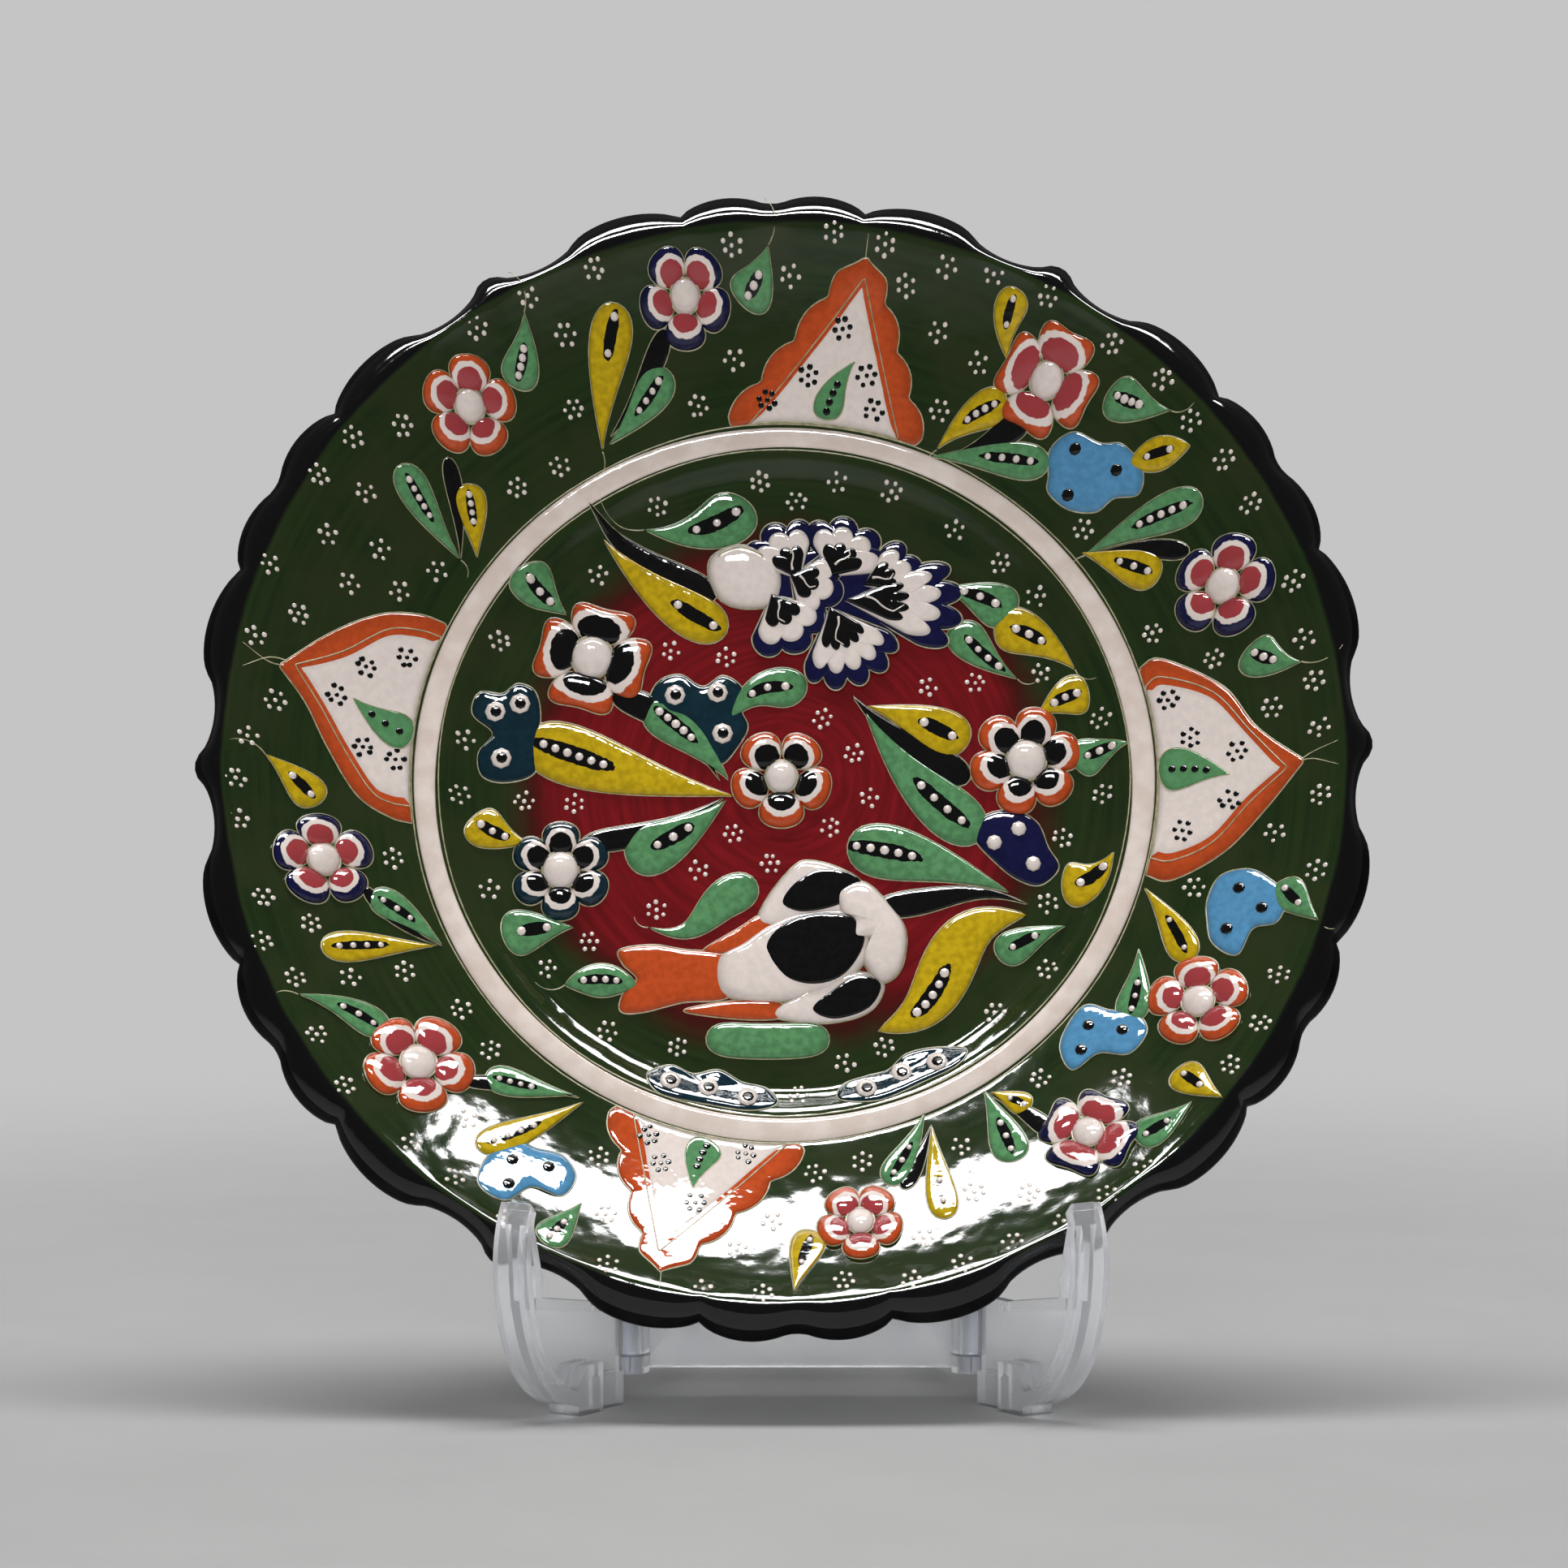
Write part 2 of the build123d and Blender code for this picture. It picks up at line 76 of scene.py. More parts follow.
def linear(red: int, green: int, blue: int) -> Colour:
    """Scene colour of a paint chip given as 0 to 255 display values.

    Args:
        red: Red of the chip.
        green: Green of the chip.
        blue: Blue of the chip.

    Returns:
        The linear colour.
    """
    values = []
    for value in (red, green, blue):
        share = value / 255
        values.append(share / 12.92 if share <= 0.04045 else ((share + 0.055) / 1.055) ** 2.4)
    return tuple(values)


def smooth_loop(points: list[Point], steps: int = 10) -> np.ndarray:
    """Closed smooth curve through a few points.

    Args:
        points: Corners of the loop, in order.
        steps: Places on the curve between two corners.

    Returns:
        Places along the loop, one row each.
    """
    corners = np.array(points, float)
    before = np.roll(corners, 1, axis=0)
    after = np.roll(corners, -1, axis=0)
    beyond = np.roll(corners, -2, axis=0)
    rows = []
    for share in np.linspace(0, 1, steps, endpoint=False):
        square, cube = share**2, share**3
        rows.append(
            0.5 * (2 * corners + (after - before) * share
                   + (2 * before - 5 * corners + 4 * after - beyond) * square
                   + (3 * corners - before - 3 * after + beyond) * cube)
        )
    return np.stack(rows, axis=1).reshape(-1, 2)


def smooth_line(points: list[Point], steps: int = 8) -> np.ndarray:
    """Open smooth curve through a few points.

    Args:
        points: Points from one end to the other.
        steps: Places on the curve between two points.

    Returns:
        Places along the curve, one row each.
    """
    corners = np.array(points, float)
    padded = np.vstack([2 * corners[0] - corners[1], corners, 2 * corners[-1] - corners[-2]])
    rows = []
    for index in range(len(corners) - 1):
        before, start, end, beyond = padded[index:index + 4]
        for share in np.linspace(0, 1, steps, endpoint=False):
            square, cube = share**2, share**3
            rows.append(
                0.5 * (2 * start + (end - before) * share
                       + (2 * before - 5 * start + 4 * end - beyond) * square
                       + (3 * start - before - 3 * end + beyond) * cube)
            )
    return np.vstack([rows, corners[-1:]])


def spaced(line: np.ndarray, count: int, closed: bool) -> np.ndarray:
    """Places at even distances along a line.

    Args:
        line: Places along the line, one row each.
        count: How many places to return.
        closed: Whether the line runs back to its first place.

    Returns:
        The evenly spaced places.
    """
    full = np.vstack([line, line[:1]]) if closed else line
    run = np.concatenate([[0], np.cumsum(np.linalg.norm(np.diff(full, axis=0), axis=1))])
    stations = np.linspace(0, run[-1], count, endpoint=not closed)
    return np.column_stack([np.interp(stations, run, full[:, axis]) for axis in (0, 1)])


# ---- Where the plate is -------------------------------------------------------------------


@dataclass(frozen=True)
class PlateSeat:
    """The leaning plane that the plate stands in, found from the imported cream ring."""

    lean: float = math.radians(20.0)
    ring_middle: float = 7.95

    @property
    def facing(self) -> Vector:
        """Direction that the painted face looks in."""
        return Vector((0, -math.cos(self.lean), math.sin(self.lean)))

    @property
    def upward(self) -> Vector:
        """Direction up the painted face."""
        return Vector((0, math.sin(self.lean), math.cos(self.lean)))

    @property
    def origin(self) -> Vector:
        """Middle of the foot ring's plane, in metres."""
        low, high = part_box("cream_ring")
        return (Vector(low) + Vector(high)) / 2 - self.facing * self.ring_middle * MM

    def seated(self, places: np.ndarray) -> np.ndarray:
        """Places on the plate, in millimetres, turned into places in the room.

        Args:
            places: Rows of x, y and height above the foot.

        Returns:
            Rows of world positions in metres.
        """
        basis = np.array([(1, 0, 0), tuple(self.upward), tuple(self.facing)])
        return places * MM @ basis + np.array(self.origin)

    def turn(self) -> Matrix:
        """Rotation from the plate's own axes to the room's."""
        return Matrix((Vector((1, 0, 0)), self.upward, self.facing)).transposed()


@dataclass(frozen=True)
class PlateShape:
    """Sizes of the turned plate and of its scalloped rim, in millimetres and degrees."""

    floor: float = 5.0
    well_radius: float = 48.4
    ring_inner: float = 54.0
    ring_outer: float = 57.5
    ring_height: float = 8.2
    crest_radius: float = 84.5
    crest_height: float = 24.2
    straightness: float = 0.6
    rim_radius: float = 91.2
    nub_radius: float = 90.2
    nub_root_radius: float = 89.5
    notch_radius: float = 88.9
    sweep_radius: float = 87.6
    nub_turn: float = 1.2
    wall: float = 4.2

    def rim(self, angle: np.ndarray) -> np.ndarray:
        """Radius of the scalloped rim at each angle.

        Args:
            angle: Angles in radians.

        Returns:
            The rim's radius at each of them.
        """
        half = [
            ((-1.3, self.nub_root_radius), (0.0, self.nub_radius), (1.3, self.nub_root_radius)),
            ((1.3, self.nub_root_radius), (5.2, self.sweep_radius), (9.5, self.nub_root_radius)),
            ((9.5, self.nub_root_radius), (14.8, self.rim_radius), (20.6, self.notch_radius)),
            ((20.6, self.notch_radius), (25.4, self.rim_radius), (30.0, self.notch_radius)),
        ]
        turns, radii = [], []
        for start, middle, end in half:
            for share in np.linspace(0, 1, 12, endpoint=False):
                turns.append(start[0] + (end[0] - start[0]) * share)
                chord = start[1] + (end[1] - start[1]) * share
                middle_chord = (start[1] + end[1]) / 2
                swell = math.sqrt(math.sin(math.pi * share)) ** 1.3
                radii.append(chord + (middle[1] - middle_chord) * swell)
        folded = np.abs((np.degrees(angle) - self.nub_turn + 30) % 60 - 30)
        return np.interp(folded, turns, radii)

    def face(self, radius: np.ndarray) -> np.ndarray:
        """Height of the painted face at each radius, as far as the crest.

        Args:
            radius: Radii in millimetres.

        Returns:
            Heights above the foot.
        """
        share = np.clip((radius - self.well_radius) / (self.ring_inner - self.well_radius), 0, 1)
        bowl = self.floor + (self.ring_height - self.floor) * share**2 * (3 - 2 * share)
        out = np.clip((radius - self.ring_outer) / (self.crest_radius - self.ring_outer), 0, None)
        rise = self.straightness * out + (1 - self.straightness) * out**2
        flange = (self.crest_height - self.ring_height) * rise
        past = np.clip((radius - self.crest_radius) / 5.0, 0, 1)
        return bowl + np.where(radius > self.crest_radius, 16.0 + 3.2 * past - 3.2 * past**2, flange)


SEAT = PlateSeat()
SHAPE = PlateShape()


# ---- Finishes -----------------------------------------------------------------------------


class Paint(Enum):
    """Glaze and enamel colours of the plate, as display values."""

    WHITE = (226, 214, 207)
    ORANGE = (190, 76, 32)
    NAVY = (14, 16, 60)
    LEAF_GREEN = (88, 142, 94)
    YELLOW = (192, 162, 16)
    BLACK = (7, 7, 8)
    LIGHT_BLUE = (84, 144, 186)
    TEAL = (10, 40, 52)
    CRIMSON = (158, 60, 64)

    @property
    def colour(self) -> Colour:
        """The paint as a scene colour."""
        return linear(*self.value)


class NodeBench:
    """A material's nodes, with the few moves that the finishes are made of."""

    def __init__(self, name: str) -> None:
        """Start a material that holds one surface shader.

        Args:
            name: Name of the finish.
        """
        self.material = bpy.data.materials.new(name)
        self.material.use_nodes = True
        self.nodes = self.material.node_tree.nodes
        self.links = self.material.node_tree.links
        self.shader = self.nodes["Principled BSDF"]

    def add(self, kind: str, **values: object) -> bpy.types.Node:
        """Add a node and set its options.

        Args:
            kind: Blender's name of the node type.
            values: Options of the node.

        Returns:
            The new node.
        """
        node = self.nodes.new(kind)
        for key, value in values.items():
            setattr(node, key, value)
        return node

    def join(self, source: object, target: object) -> None:
        """Link one socket to another."""
        self.links.new(source, target)

    def sum(self, operation: str, first: object, second: object = 0.0, third: object = None) -> object:
        """One step of arithmetic.

        Args:
            operation: Blender's name of the operation.
            first: Socket or number.
            second: Socket or number.
            third: Socket, number or nothing.

        Returns:
            The result's socket.
        """
        node = self.add("ShaderNodeMath", operation=operation)
        for slot, value in enumerate((first, second, third)):
            if value is None:
                continue
            if isinstance(value, (int, float)):
                node.inputs[slot].default_value = value
            else:
                self.join(value, node.inputs[slot])
        return node.outputs[0]

    def step(self, value: object, low: float, high: float) -> object:
        """Smooth change from nought to one between two values.

        Args:
            value: Socket that is tested.
            low: Where the change starts.
            high: Where it ends.

        Returns:
            Socket of the share.
        """
        node = self.add("ShaderNodeMapRange", interpolation_type="SMOOTHSTEP")
        self.join(value, node.inputs["Value"])
        node.inputs["From Min"].default_value = low
        node.inputs["From Max"].default_value = high
        return node.outputs["Result"]

    def mix(self, share: object, first: object, second: object) -> object:
        """Colour between two colours.

        Args:
            share: Socket that says how much of the second colour shows.
            first: Colour or socket.
            second: Colour or socket.

        Returns:
            The mixed colour's socket.
        """
        node = self.add("ShaderNodeMix", data_type="RGBA")
        self.join(share, node.inputs["Factor"])
        for name, value in (("A", first), ("B", second)):
            socket = [item for item in node.inputs if item.name == name and item.type == "RGBA"][0]
            if isinstance(value, tuple):
                socket.default_value = (*value, 1)
            else:
                self.join(value, socket)
        return [item for item in node.outputs if item.type == "RGBA"][0]

    def place(self) -> object:
        """Object coordinates turned into the plate's own millimetres.

        Returns:
            Socket of the place.
        """
        source = self.add("ShaderNodeTexCoord")
        mapping = self.add("ShaderNodeMapping", vector_type="TEXTURE")
        mapping.inputs["Location"].default_value = SEAT.origin
        mapping.inputs["Rotation"].default_value = SEAT.turn().to_euler("XYZ")
        mapping.inputs["Scale"].default_value = (MM, MM, MM)
        self.join(source.outputs["Object"], mapping.inputs["Vector"])
        return mapping.outputs["Vector"]

    def noise(self, place: object, scale: float, detail: float = 3.0) -> object:
        """Cloudy pattern.

        Args:
            place: Coordinates in millimetres.
            scale: Blotches per millimetre.
            detail: How fine the pattern goes.

        Returns:
            A value about one half.
        """
        node = self.add("ShaderNodeTexNoise")
        node.inputs["Scale"].default_value = scale
        node.inputs["Detail"].default_value = detail
        self.join(place, node.inputs["Vector"])
        return node.outputs["Fac"]

    def bump(self, height: object, strength: float, distance: float) -> None:
        """Give the surface a fine unevenness.

        Args:
            height: Socket of the relief.
            strength: Share of the relief that shows.
            distance: Height of the relief in millimetres.
        """
        node = self.add("ShaderNodeBump")
        node.inputs["Strength"].default_value = strength
        node.inputs["Distance"].default_value = distance * MM
        self.join(height, node.inputs["Height"])
        self.join(node.outputs["Normal"], self.shader.inputs["Normal"])


@dataclass(frozen=True)
class EnamelFinish:
    """Thick fired enamel: one paint, mottled, pooled darker at its edges, under a gloss."""

    name: str
    paint: Paint
    mottle: float = 0.14
    gloss: float = 0.05
    pooling: float = 0.35

    def colour(self, bench: NodeBench, place: object) -> object:
        """The mottled paint.

        Args:
            bench: The material being made.
            place: Coordinates in millimetres.

        Returns:
            Socket of the colour.
        """
        base = self.paint.colour
        deep = tuple(value * (1 - self.mottle) for value in base)
        pale = tuple(min(1.0, value * (1 + self.mottle * 0.35) + 0.01 * self.mottle) for value in base)
        blotch = bench.step(bench.noise(place, 0.9, 5.0), 0.32, 0.68)
        mottled = bench.mix(blotch, deep, pale)
        edge = bench.add("ShaderNodeAttribute", attribute_name="edge")
        pooled = bench.sum("MULTIPLY", bench.step(edge.outputs["Fac"], 0.8, 1.0), self.pooling)
        return bench.mix(pooled, mottled, tuple(value * 0.3 for value in base))

    def relief(self, bench: NodeBench, place: object) -> None:
        """Give the fired surface its soft waviness and gloss.

        Args:
            bench: The material being made.
            place: Coordinates in millimetres.
        """
        wave = bench.noise(place, 0.4, 2.0)
        grain = bench.noise(place, 3.0, 3.0)
        bench.bump(bench.sum("MULTIPLY_ADD", grain, 0.01, wave), 0.3, 0.3)
        bench.shader.inputs["Roughness"].default_value = self.gloss
        bench.shader.inputs["IOR"].default_value = 1.52

    def material(self) -> bpy.types.Material:
        """Make the enamel's material.

        Returns:
            The material.
        """
        bench = NodeBench(self.name)
        place = bench.place()
        bench.join(self.colour(bench, place), bench.shader.inputs["Base Color"])
        self.relief(bench, place)
        return bench.material


@dataclass(frozen=True)
class LeafFinish(EnamelFinish):
    """Leaf enamel with a black slit along its middle, drawn in the leaf's own coordinates."""

    def material(self) -> bpy.types.Material:
        """Make the leaf's material.

        Returns:
            The material.
        """
        bench = NodeBench(self.name)
        place = bench.place()
        paint = self.colour(bench, place)
        pattern = bench.add("ShaderNodeUVMap", uv_map="motif")
        split = bench.add("ShaderNodeSeparateXYZ")
        bench.join(pattern.outputs["UV"], split.inputs["Vector"])
        along, across = split.outputs["X"], split.outputs["Y"]
        ends = bench.sum("POWER", bench.sum("ABSOLUTE", along), 2.6)
        lens = bench.sum("ADD", ends, bench.sum("MULTIPLY", across, across))
        wobble = bench.sum("MULTIPLY_ADD", bench.noise(place, 1.1, 1.0), 0.7, -0.35)
        slit = bench.step(bench.sum("ADD", lens, wobble), 1.04, 0.96)
        bench.join(bench.mix(slit, paint, Paint.BLACK.colour), bench.shader.inputs["Base Color"])
        self.relief(bench, place)
        return bench.material


@dataclass(frozen=True)
class PetalFinish(EnamelFinish):
    """Petal enamel in three zones: a heart by the middle, a pale band and a coloured edge."""

    heart: Paint = Paint.CRIMSON
    band: Paint = Paint.WHITE

    def material(self) -> bpy.types.Material:
        """Make the petal's material.

        Returns:
            The material.
        """
        bench = NodeBench(self.name)
        place = bench.place()
        rim = self.colour(bench, place)
        pattern = bench.add("ShaderNodeUVMap", uv_map="motif")
        split = bench.add("ShaderNodeSeparateXYZ")
        bench.join(pattern.outputs["UV"], split.inputs["Vector"])
        out, side = split.outputs["X"], split.outputs["Y"]
        wobble = bench.sum("MULTIPLY_ADD", bench.noise(place, 0.8, 1.0), 0.5, -0.25)

        def patch(middle: float, length: float, breadth: float) -> object:
            """Mask of an oval patch of the petal.

            Args:
                middle: Where the patch sits along the petal.
                length: Its half length.
                breadth: Its half breadth.

            Returns:
                Socket of the mask.
            """
            along = bench.sum("DIVIDE", bench.sum("SUBTRACT", out, middle), length)
            across = bench.sum("DIVIDE", side, breadth)
            oval = bench.sum(
                "ADD", bench.sum("MULTIPLY", along, along), bench.sum("MULTIPLY", across, across)
            )
            return bench.step(bench.sum("ADD", oval, wobble), 1.06, 0.94)

        with_band = bench.mix(patch(-0.34, 0.86, 0.84), rim, self.band.colour)
        with_heart = bench.mix(patch(-0.44, 0.66, 0.62), with_band, self.heart.colour)
        bench.join(with_heart, bench.shader.inputs["Base Color"])
        self.relief(bench, place)
        return bench.material


@dataclass(frozen=True)
class PaintedGlaze:
    """The face's glaze: a red well that burns into green, a green flange and a black lip."""

    name: str = "painted_glaze"
    red_edge: float = 38.5
    green_edge: float = 44.5
    lip_edge: float = 85.7

    def material(self) -> bpy.types.Material:
        """Make the glaze of the painted face.

        Returns:
            The material.
        """
        bench = NodeBench(self.name)
        place = bench.place()
        split = bench.add("ShaderNodeSeparateXYZ")
        bench.join(place, split.inputs["Vector"])
        squares = [bench.sum("POWER", split.outputs[axis], 2.0) for axis in "XY"]
        flat = bench.sum("POWER", bench.sum("ADD", *squares), 0.5)
        cloud = bench.noise(place, 0.09, 4.0)
        ragged = bench.sum("MULTIPLY_ADD", cloud, 9.0, bench.sum("SUBTRACT", flat, 4.5))
        angle = bench.sum("ARCTAN2", split.outputs["Y"], split.outputs["X"])
        strokes = bench.add("ShaderNodeCombineXYZ")
        bench.join(bench.sum("MULTIPLY", angle, 1.6), strokes.inputs["X"])
        bench.join(bench.sum("MULTIPLY", flat, 0.9), strokes.inputs["Y"])
        brush = bench.noise(strokes.outputs["Vector"], 1.0, 3.0)
        green = bench.mix(bench.step(brush, 0.3, 0.75), linear(24, 40, 15), linear(34, 52, 20))
        green = bench.mix(bench.step(cloud, 0.35, 0.7), green, linear(40, 50, 24))
        red = bench.mix(bench.step(brush, 0.3, 0.75), linear(100, 14, 18), linear(124, 20, 26))
        burnt = bench.mix(bench.step(ragged, self.red_edge - 4, self.red_edge + 2), red, linear(64, 16, 12))
        well = bench.mix(bench.step(ragged, self.red_edge, self.green_edge), burnt, green)
        wandering = bench.sum("MULTIPLY_ADD", cloud, 1.2, flat)
        lip = bench.step(wandering, self.lip_edge + 0.2, self.lip_edge + 1.0)
        bench.join(bench.mix(lip, well, Paint.BLACK.colour), bench.shader.inputs["Base Color"])
        wave = bench.noise(place, 0.12, 2.0)
        bench.bump(bench.sum("MULTIPLY_ADD", bench.noise(place, 1.4, 2.0), 0.025, wave), 0.5, 0.5)
        bench.shader.inputs["Roughness"].default_value = 0.07
        bench.shader.inputs["IOR"].default_value = 1.5
        return bench.material


@dataclass(frozen=True)
class PlainGlaze:
    """Glaze of one colour with slow blotches, for the ring and the back."""

    name: str
    base: Colour
    blotch: Colour
    gloss: float = 0.1
    scale: float = 0.25

    def material(self) -> bpy.types.Material:
        """Make the plain glaze.

        Returns:
            The material.
        """
        bench = NodeBench(self.name)
        place = bench.place()
        cloud = bench.step(bench.noise(place, self.scale, 4.0), 0.35, 0.7)
        bench.join(bench.mix(cloud, self.base, self.blotch), bench.shader.inputs["Base Color"])
        bench.bump(bench.noise(place, 0.5, 3.0), 0.25, 0.3)
        bench.shader.inputs["Roughness"].default_value = self.gloss
        return bench.material


@dataclass(frozen=True)
class BareClay:
    """Unglazed clay of the foot ring."""

    name: str = "bare_clay"

    def material(self) -> bpy.types.Material:
        """Make the clay.

        Returns:
            The material.
        """
        bench = NodeBench(self.name)
        place = bench.place()
        grit = bench.noise(place, 1.6, 6.0)
        clay = bench.mix(bench.step(grit, 0.3, 0.7), linear(176, 152, 128), linear(206, 188, 166))
        bench.join(clay, bench.shader.inputs["Base Color"])
        bench.bump(grit, 0.6, 0.2)
        bench.shader.inputs["Roughness"].default_value = 0.85
        return bench.material


@dataclass(frozen=True)
class ClearPlastic:
    """Moulded clear plastic with faint flow marks and fine scratches."""

    name: str
    tint: Colour = (0.965, 0.975, 1.0)
    clearness: float = 0.84
    haze: float = 0.16

    def material(self) -> bpy.types.Material:
        """Make the plastic.

        Returns:
            The material.
        """
        bench = NodeBench(self.name)
        source = bench.add("ShaderNodeTexCoord")
        flow = bench.noise(source.outputs["Object"], 60.0, 2.0)
        scratch = bench.noise(source.outputs["Object"], 900.0, 3.0)
        deep = tuple(value * 0.94 for value in self.tint)
        tinted = bench.mix(bench.step(flow, 0.35, 0.7), self.tint, deep)
        bench.join(tinted, bench.shader.inputs["Base Color"])
        bench.shader.inputs["Transmission Weight"].default_value = self.clearness
        bench.shader.inputs["IOR"].default_value = 1.49
        rough = bench.sum("MULTIPLY_ADD", bench.step(scratch, 0.55, 0.8), 0.1, self.haze)
        bench.join(rough, bench.shader.inputs["Roughness"])
        bench.bump(flow, 0.15, 0.4)
        return bench.material


class Palette:
    """All of the finishes, each made once."""

    mottle: float = 0.14
    white_mottle: float = 0.06

    def __init__(self) -> None:
        """Make the enamels and glazes."""
        self.plain = {
            paint: EnamelFinish(f"{paint.name.lower()}_enamel", paint, self.mottle_of(paint)).material()
            for paint in Paint
        }
        self.green_leaf = LeafFinish("green_leaf_enamel", Paint.LEAF_GREEN, mottle=0.24).material()
        self.yellow_leaf = LeafFinish("yellow_leaf_enamel", Paint.YELLOW, mottle=0.22).material()
        self.petals = {
            "orange_crimson": PetalFinish("petal_orange_crimson", Paint.ORANGE).material(),
            "navy_crimson": PetalFinish("petal_navy_crimson", Paint.NAVY).material(),
            "orange_black": PetalFinish("petal_orange_black", Paint.ORANGE, heart=Paint.BLACK).material(),
            "teal_black": PetalFinish("petal_teal_black", Paint.TEAL, heart=Paint.BLACK).material(),
        }
        slip = PlainGlaze("outline_slip", linear(186, 178, 146), linear(140, 140, 104), 0.3, 0.8)
        self.line = slip.material()
        self.painted = PaintedGlaze().material()
        cream = PlainGlaze("cream_ring_glaze", linear(216, 200, 190), linear(228, 216, 208), 0.09)
        self.ring = cream.material()
        self.back = PlainGlaze("back_glaze", linear(26, 50, 20), linear(34, 62, 26), 0.12).material()
        self.clay = BareClay().material()
        self.lip = PlainGlaze("black_lip_glaze", linear(7, 7, 8), linear(16, 16, 17), 0.3).material()
        self.lip.node_tree.nodes["Principled BSDF"].inputs["Specular IOR Level"].default_value = 0.06

    def mottle_of(self, paint: Paint) -> float:
        """How cloudy a plain paint is: white is the calmest."""
        return self.white_mottle if paint is Paint.WHITE else self.mottle


# ---- Blanks: shapes modelled once and copied -----------------------------------------------


@dataclass
class Blank:
    """A closed turned blank: each corner knows its angle and its ring."""

    angle: np.ndarray
    ring: np.ndarray
    pole: np.ndarray
    faces: list[tuple[int, ...]]


def turned_blank(segments: int, rings: int) -> Blank:
    """Model a closed tube of rings, drawn up from a circle and closed at both ends.

    Args:
        segments: Corners round each ring.
        rings: Number of rings.

    Returns:
        The blank's corners and faces.
    """
    deselect_all()
    bpy.ops.mesh.primitive_circle_add(vertices=segments, radius=1.0, fill_type="NGON")
    shape = bpy.context.object
    bpy.ops.object.mode_set(mode="EDIT")
    bpy.ops.mesh.select_all(action="SELECT")
    bpy.ops.mesh.poke()
    bpy.ops.mesh.select_all(action="DESELECT")
    bpy.ops.mesh.select_non_manifold()
    for _ in range(rings - 1):
        bpy.ops.mesh.extrude_region_move(TRANSFORM_OT_translate={"value": (0, 0, 1)})
    bpy.ops.mesh.edge_face_add()
    bpy.ops.mesh.poke()
    bpy.ops.mesh.select_all(action="SELECT")
    bpy.ops.mesh.normals_make_consistent(inside=False)
    bpy.ops.object.mode_set(mode="OBJECT")
    mesh = shape.data
    corners = np.array([tuple(vertex.co) for vertex in mesh.vertices])
    faces = [tuple(polygon.vertices) for polygon in mesh.polygons]
    bpy.data.objects.remove(shape)
    bpy.data.meshes.remove(mesh)
    pole = np.hypot(corners[:, 0], corners[:, 1]) < 0.5
    angle = np.arctan2(corners[:, 1], corners[:, 0])
    return Blank(angle, np.round(corners[:, 2]).astype(int), pole, faces)


@dataclass
class LoopBlank:
    """A closed ring of cord: each corner knows its place along and round it."""

    along: np.ndarray
    around: np.ndarray
    faces: list[tuple[int, ...]]


def loop_blank(segments: int, sides: int) -> LoopBlank:
    """Model a ring of cord from a torus.

    Args:
        segments: Sections along the ring.
        sides: Corners of each section.

    Returns:
        The ring's corners and faces.
    """
    deselect_all()
    bpy.ops.mesh.primitive_torus_add(
        major_segments=segments, minor_segments=sides, major_radius=2.0, minor_radius=0.5
    )
    shape = bpy.context.object
    mesh = shape.data
    corners = np.array([tuple(vertex.co) for vertex in mesh.vertices])
    faces = [tuple(polygon.vertices) for polygon in mesh.polygons]
    bpy.data.objects.remove(shape)
    bpy.data.meshes.remove(mesh)
    turns = np.arctan2(corners[:, 1], corners[:, 0]) / (2 * math.pi)
    along = np.round(turns * segments).astype(int) % segments
    around = np.arctan2(corners[:, 2], np.hypot(corners[:, 0], corners[:, 1]) - 2.0)
    return LoopBlank(along, around, faces)


# ---- Flat shapes on the plate's face ---------------------------------------------------------


@dataclass
class FlatShape:
    """A shape on the plate's face, reached from a unit disc."""

    def spot(self, across: np.ndarray, up: np.ndarray) -> np.ndarray:
        """Place on the plate of each place on the unit disc."""
        raise NotImplementedError

    def pattern(self, across: np.ndarray, up: np.ndarray) -> np.ndarray:
        """Pattern coordinates of each place on the unit disc."""
        return np.column_stack([across, up])

    def edge(self, count: int) -> np.ndarray:
        """Evenly spaced places along the shape's edge."""
        turn = np.linspace(0, 2 * math.pi, count * 3, endpoint=False)
        return spaced(self.spot(np.cos(turn), np.sin(turn)), count, True)


class LeafKind(Enum):
    """How a leaf's width runs from its tip to its heel."""

    DROP = "drop"
    LENS = "lens"
    BAR = "bar"


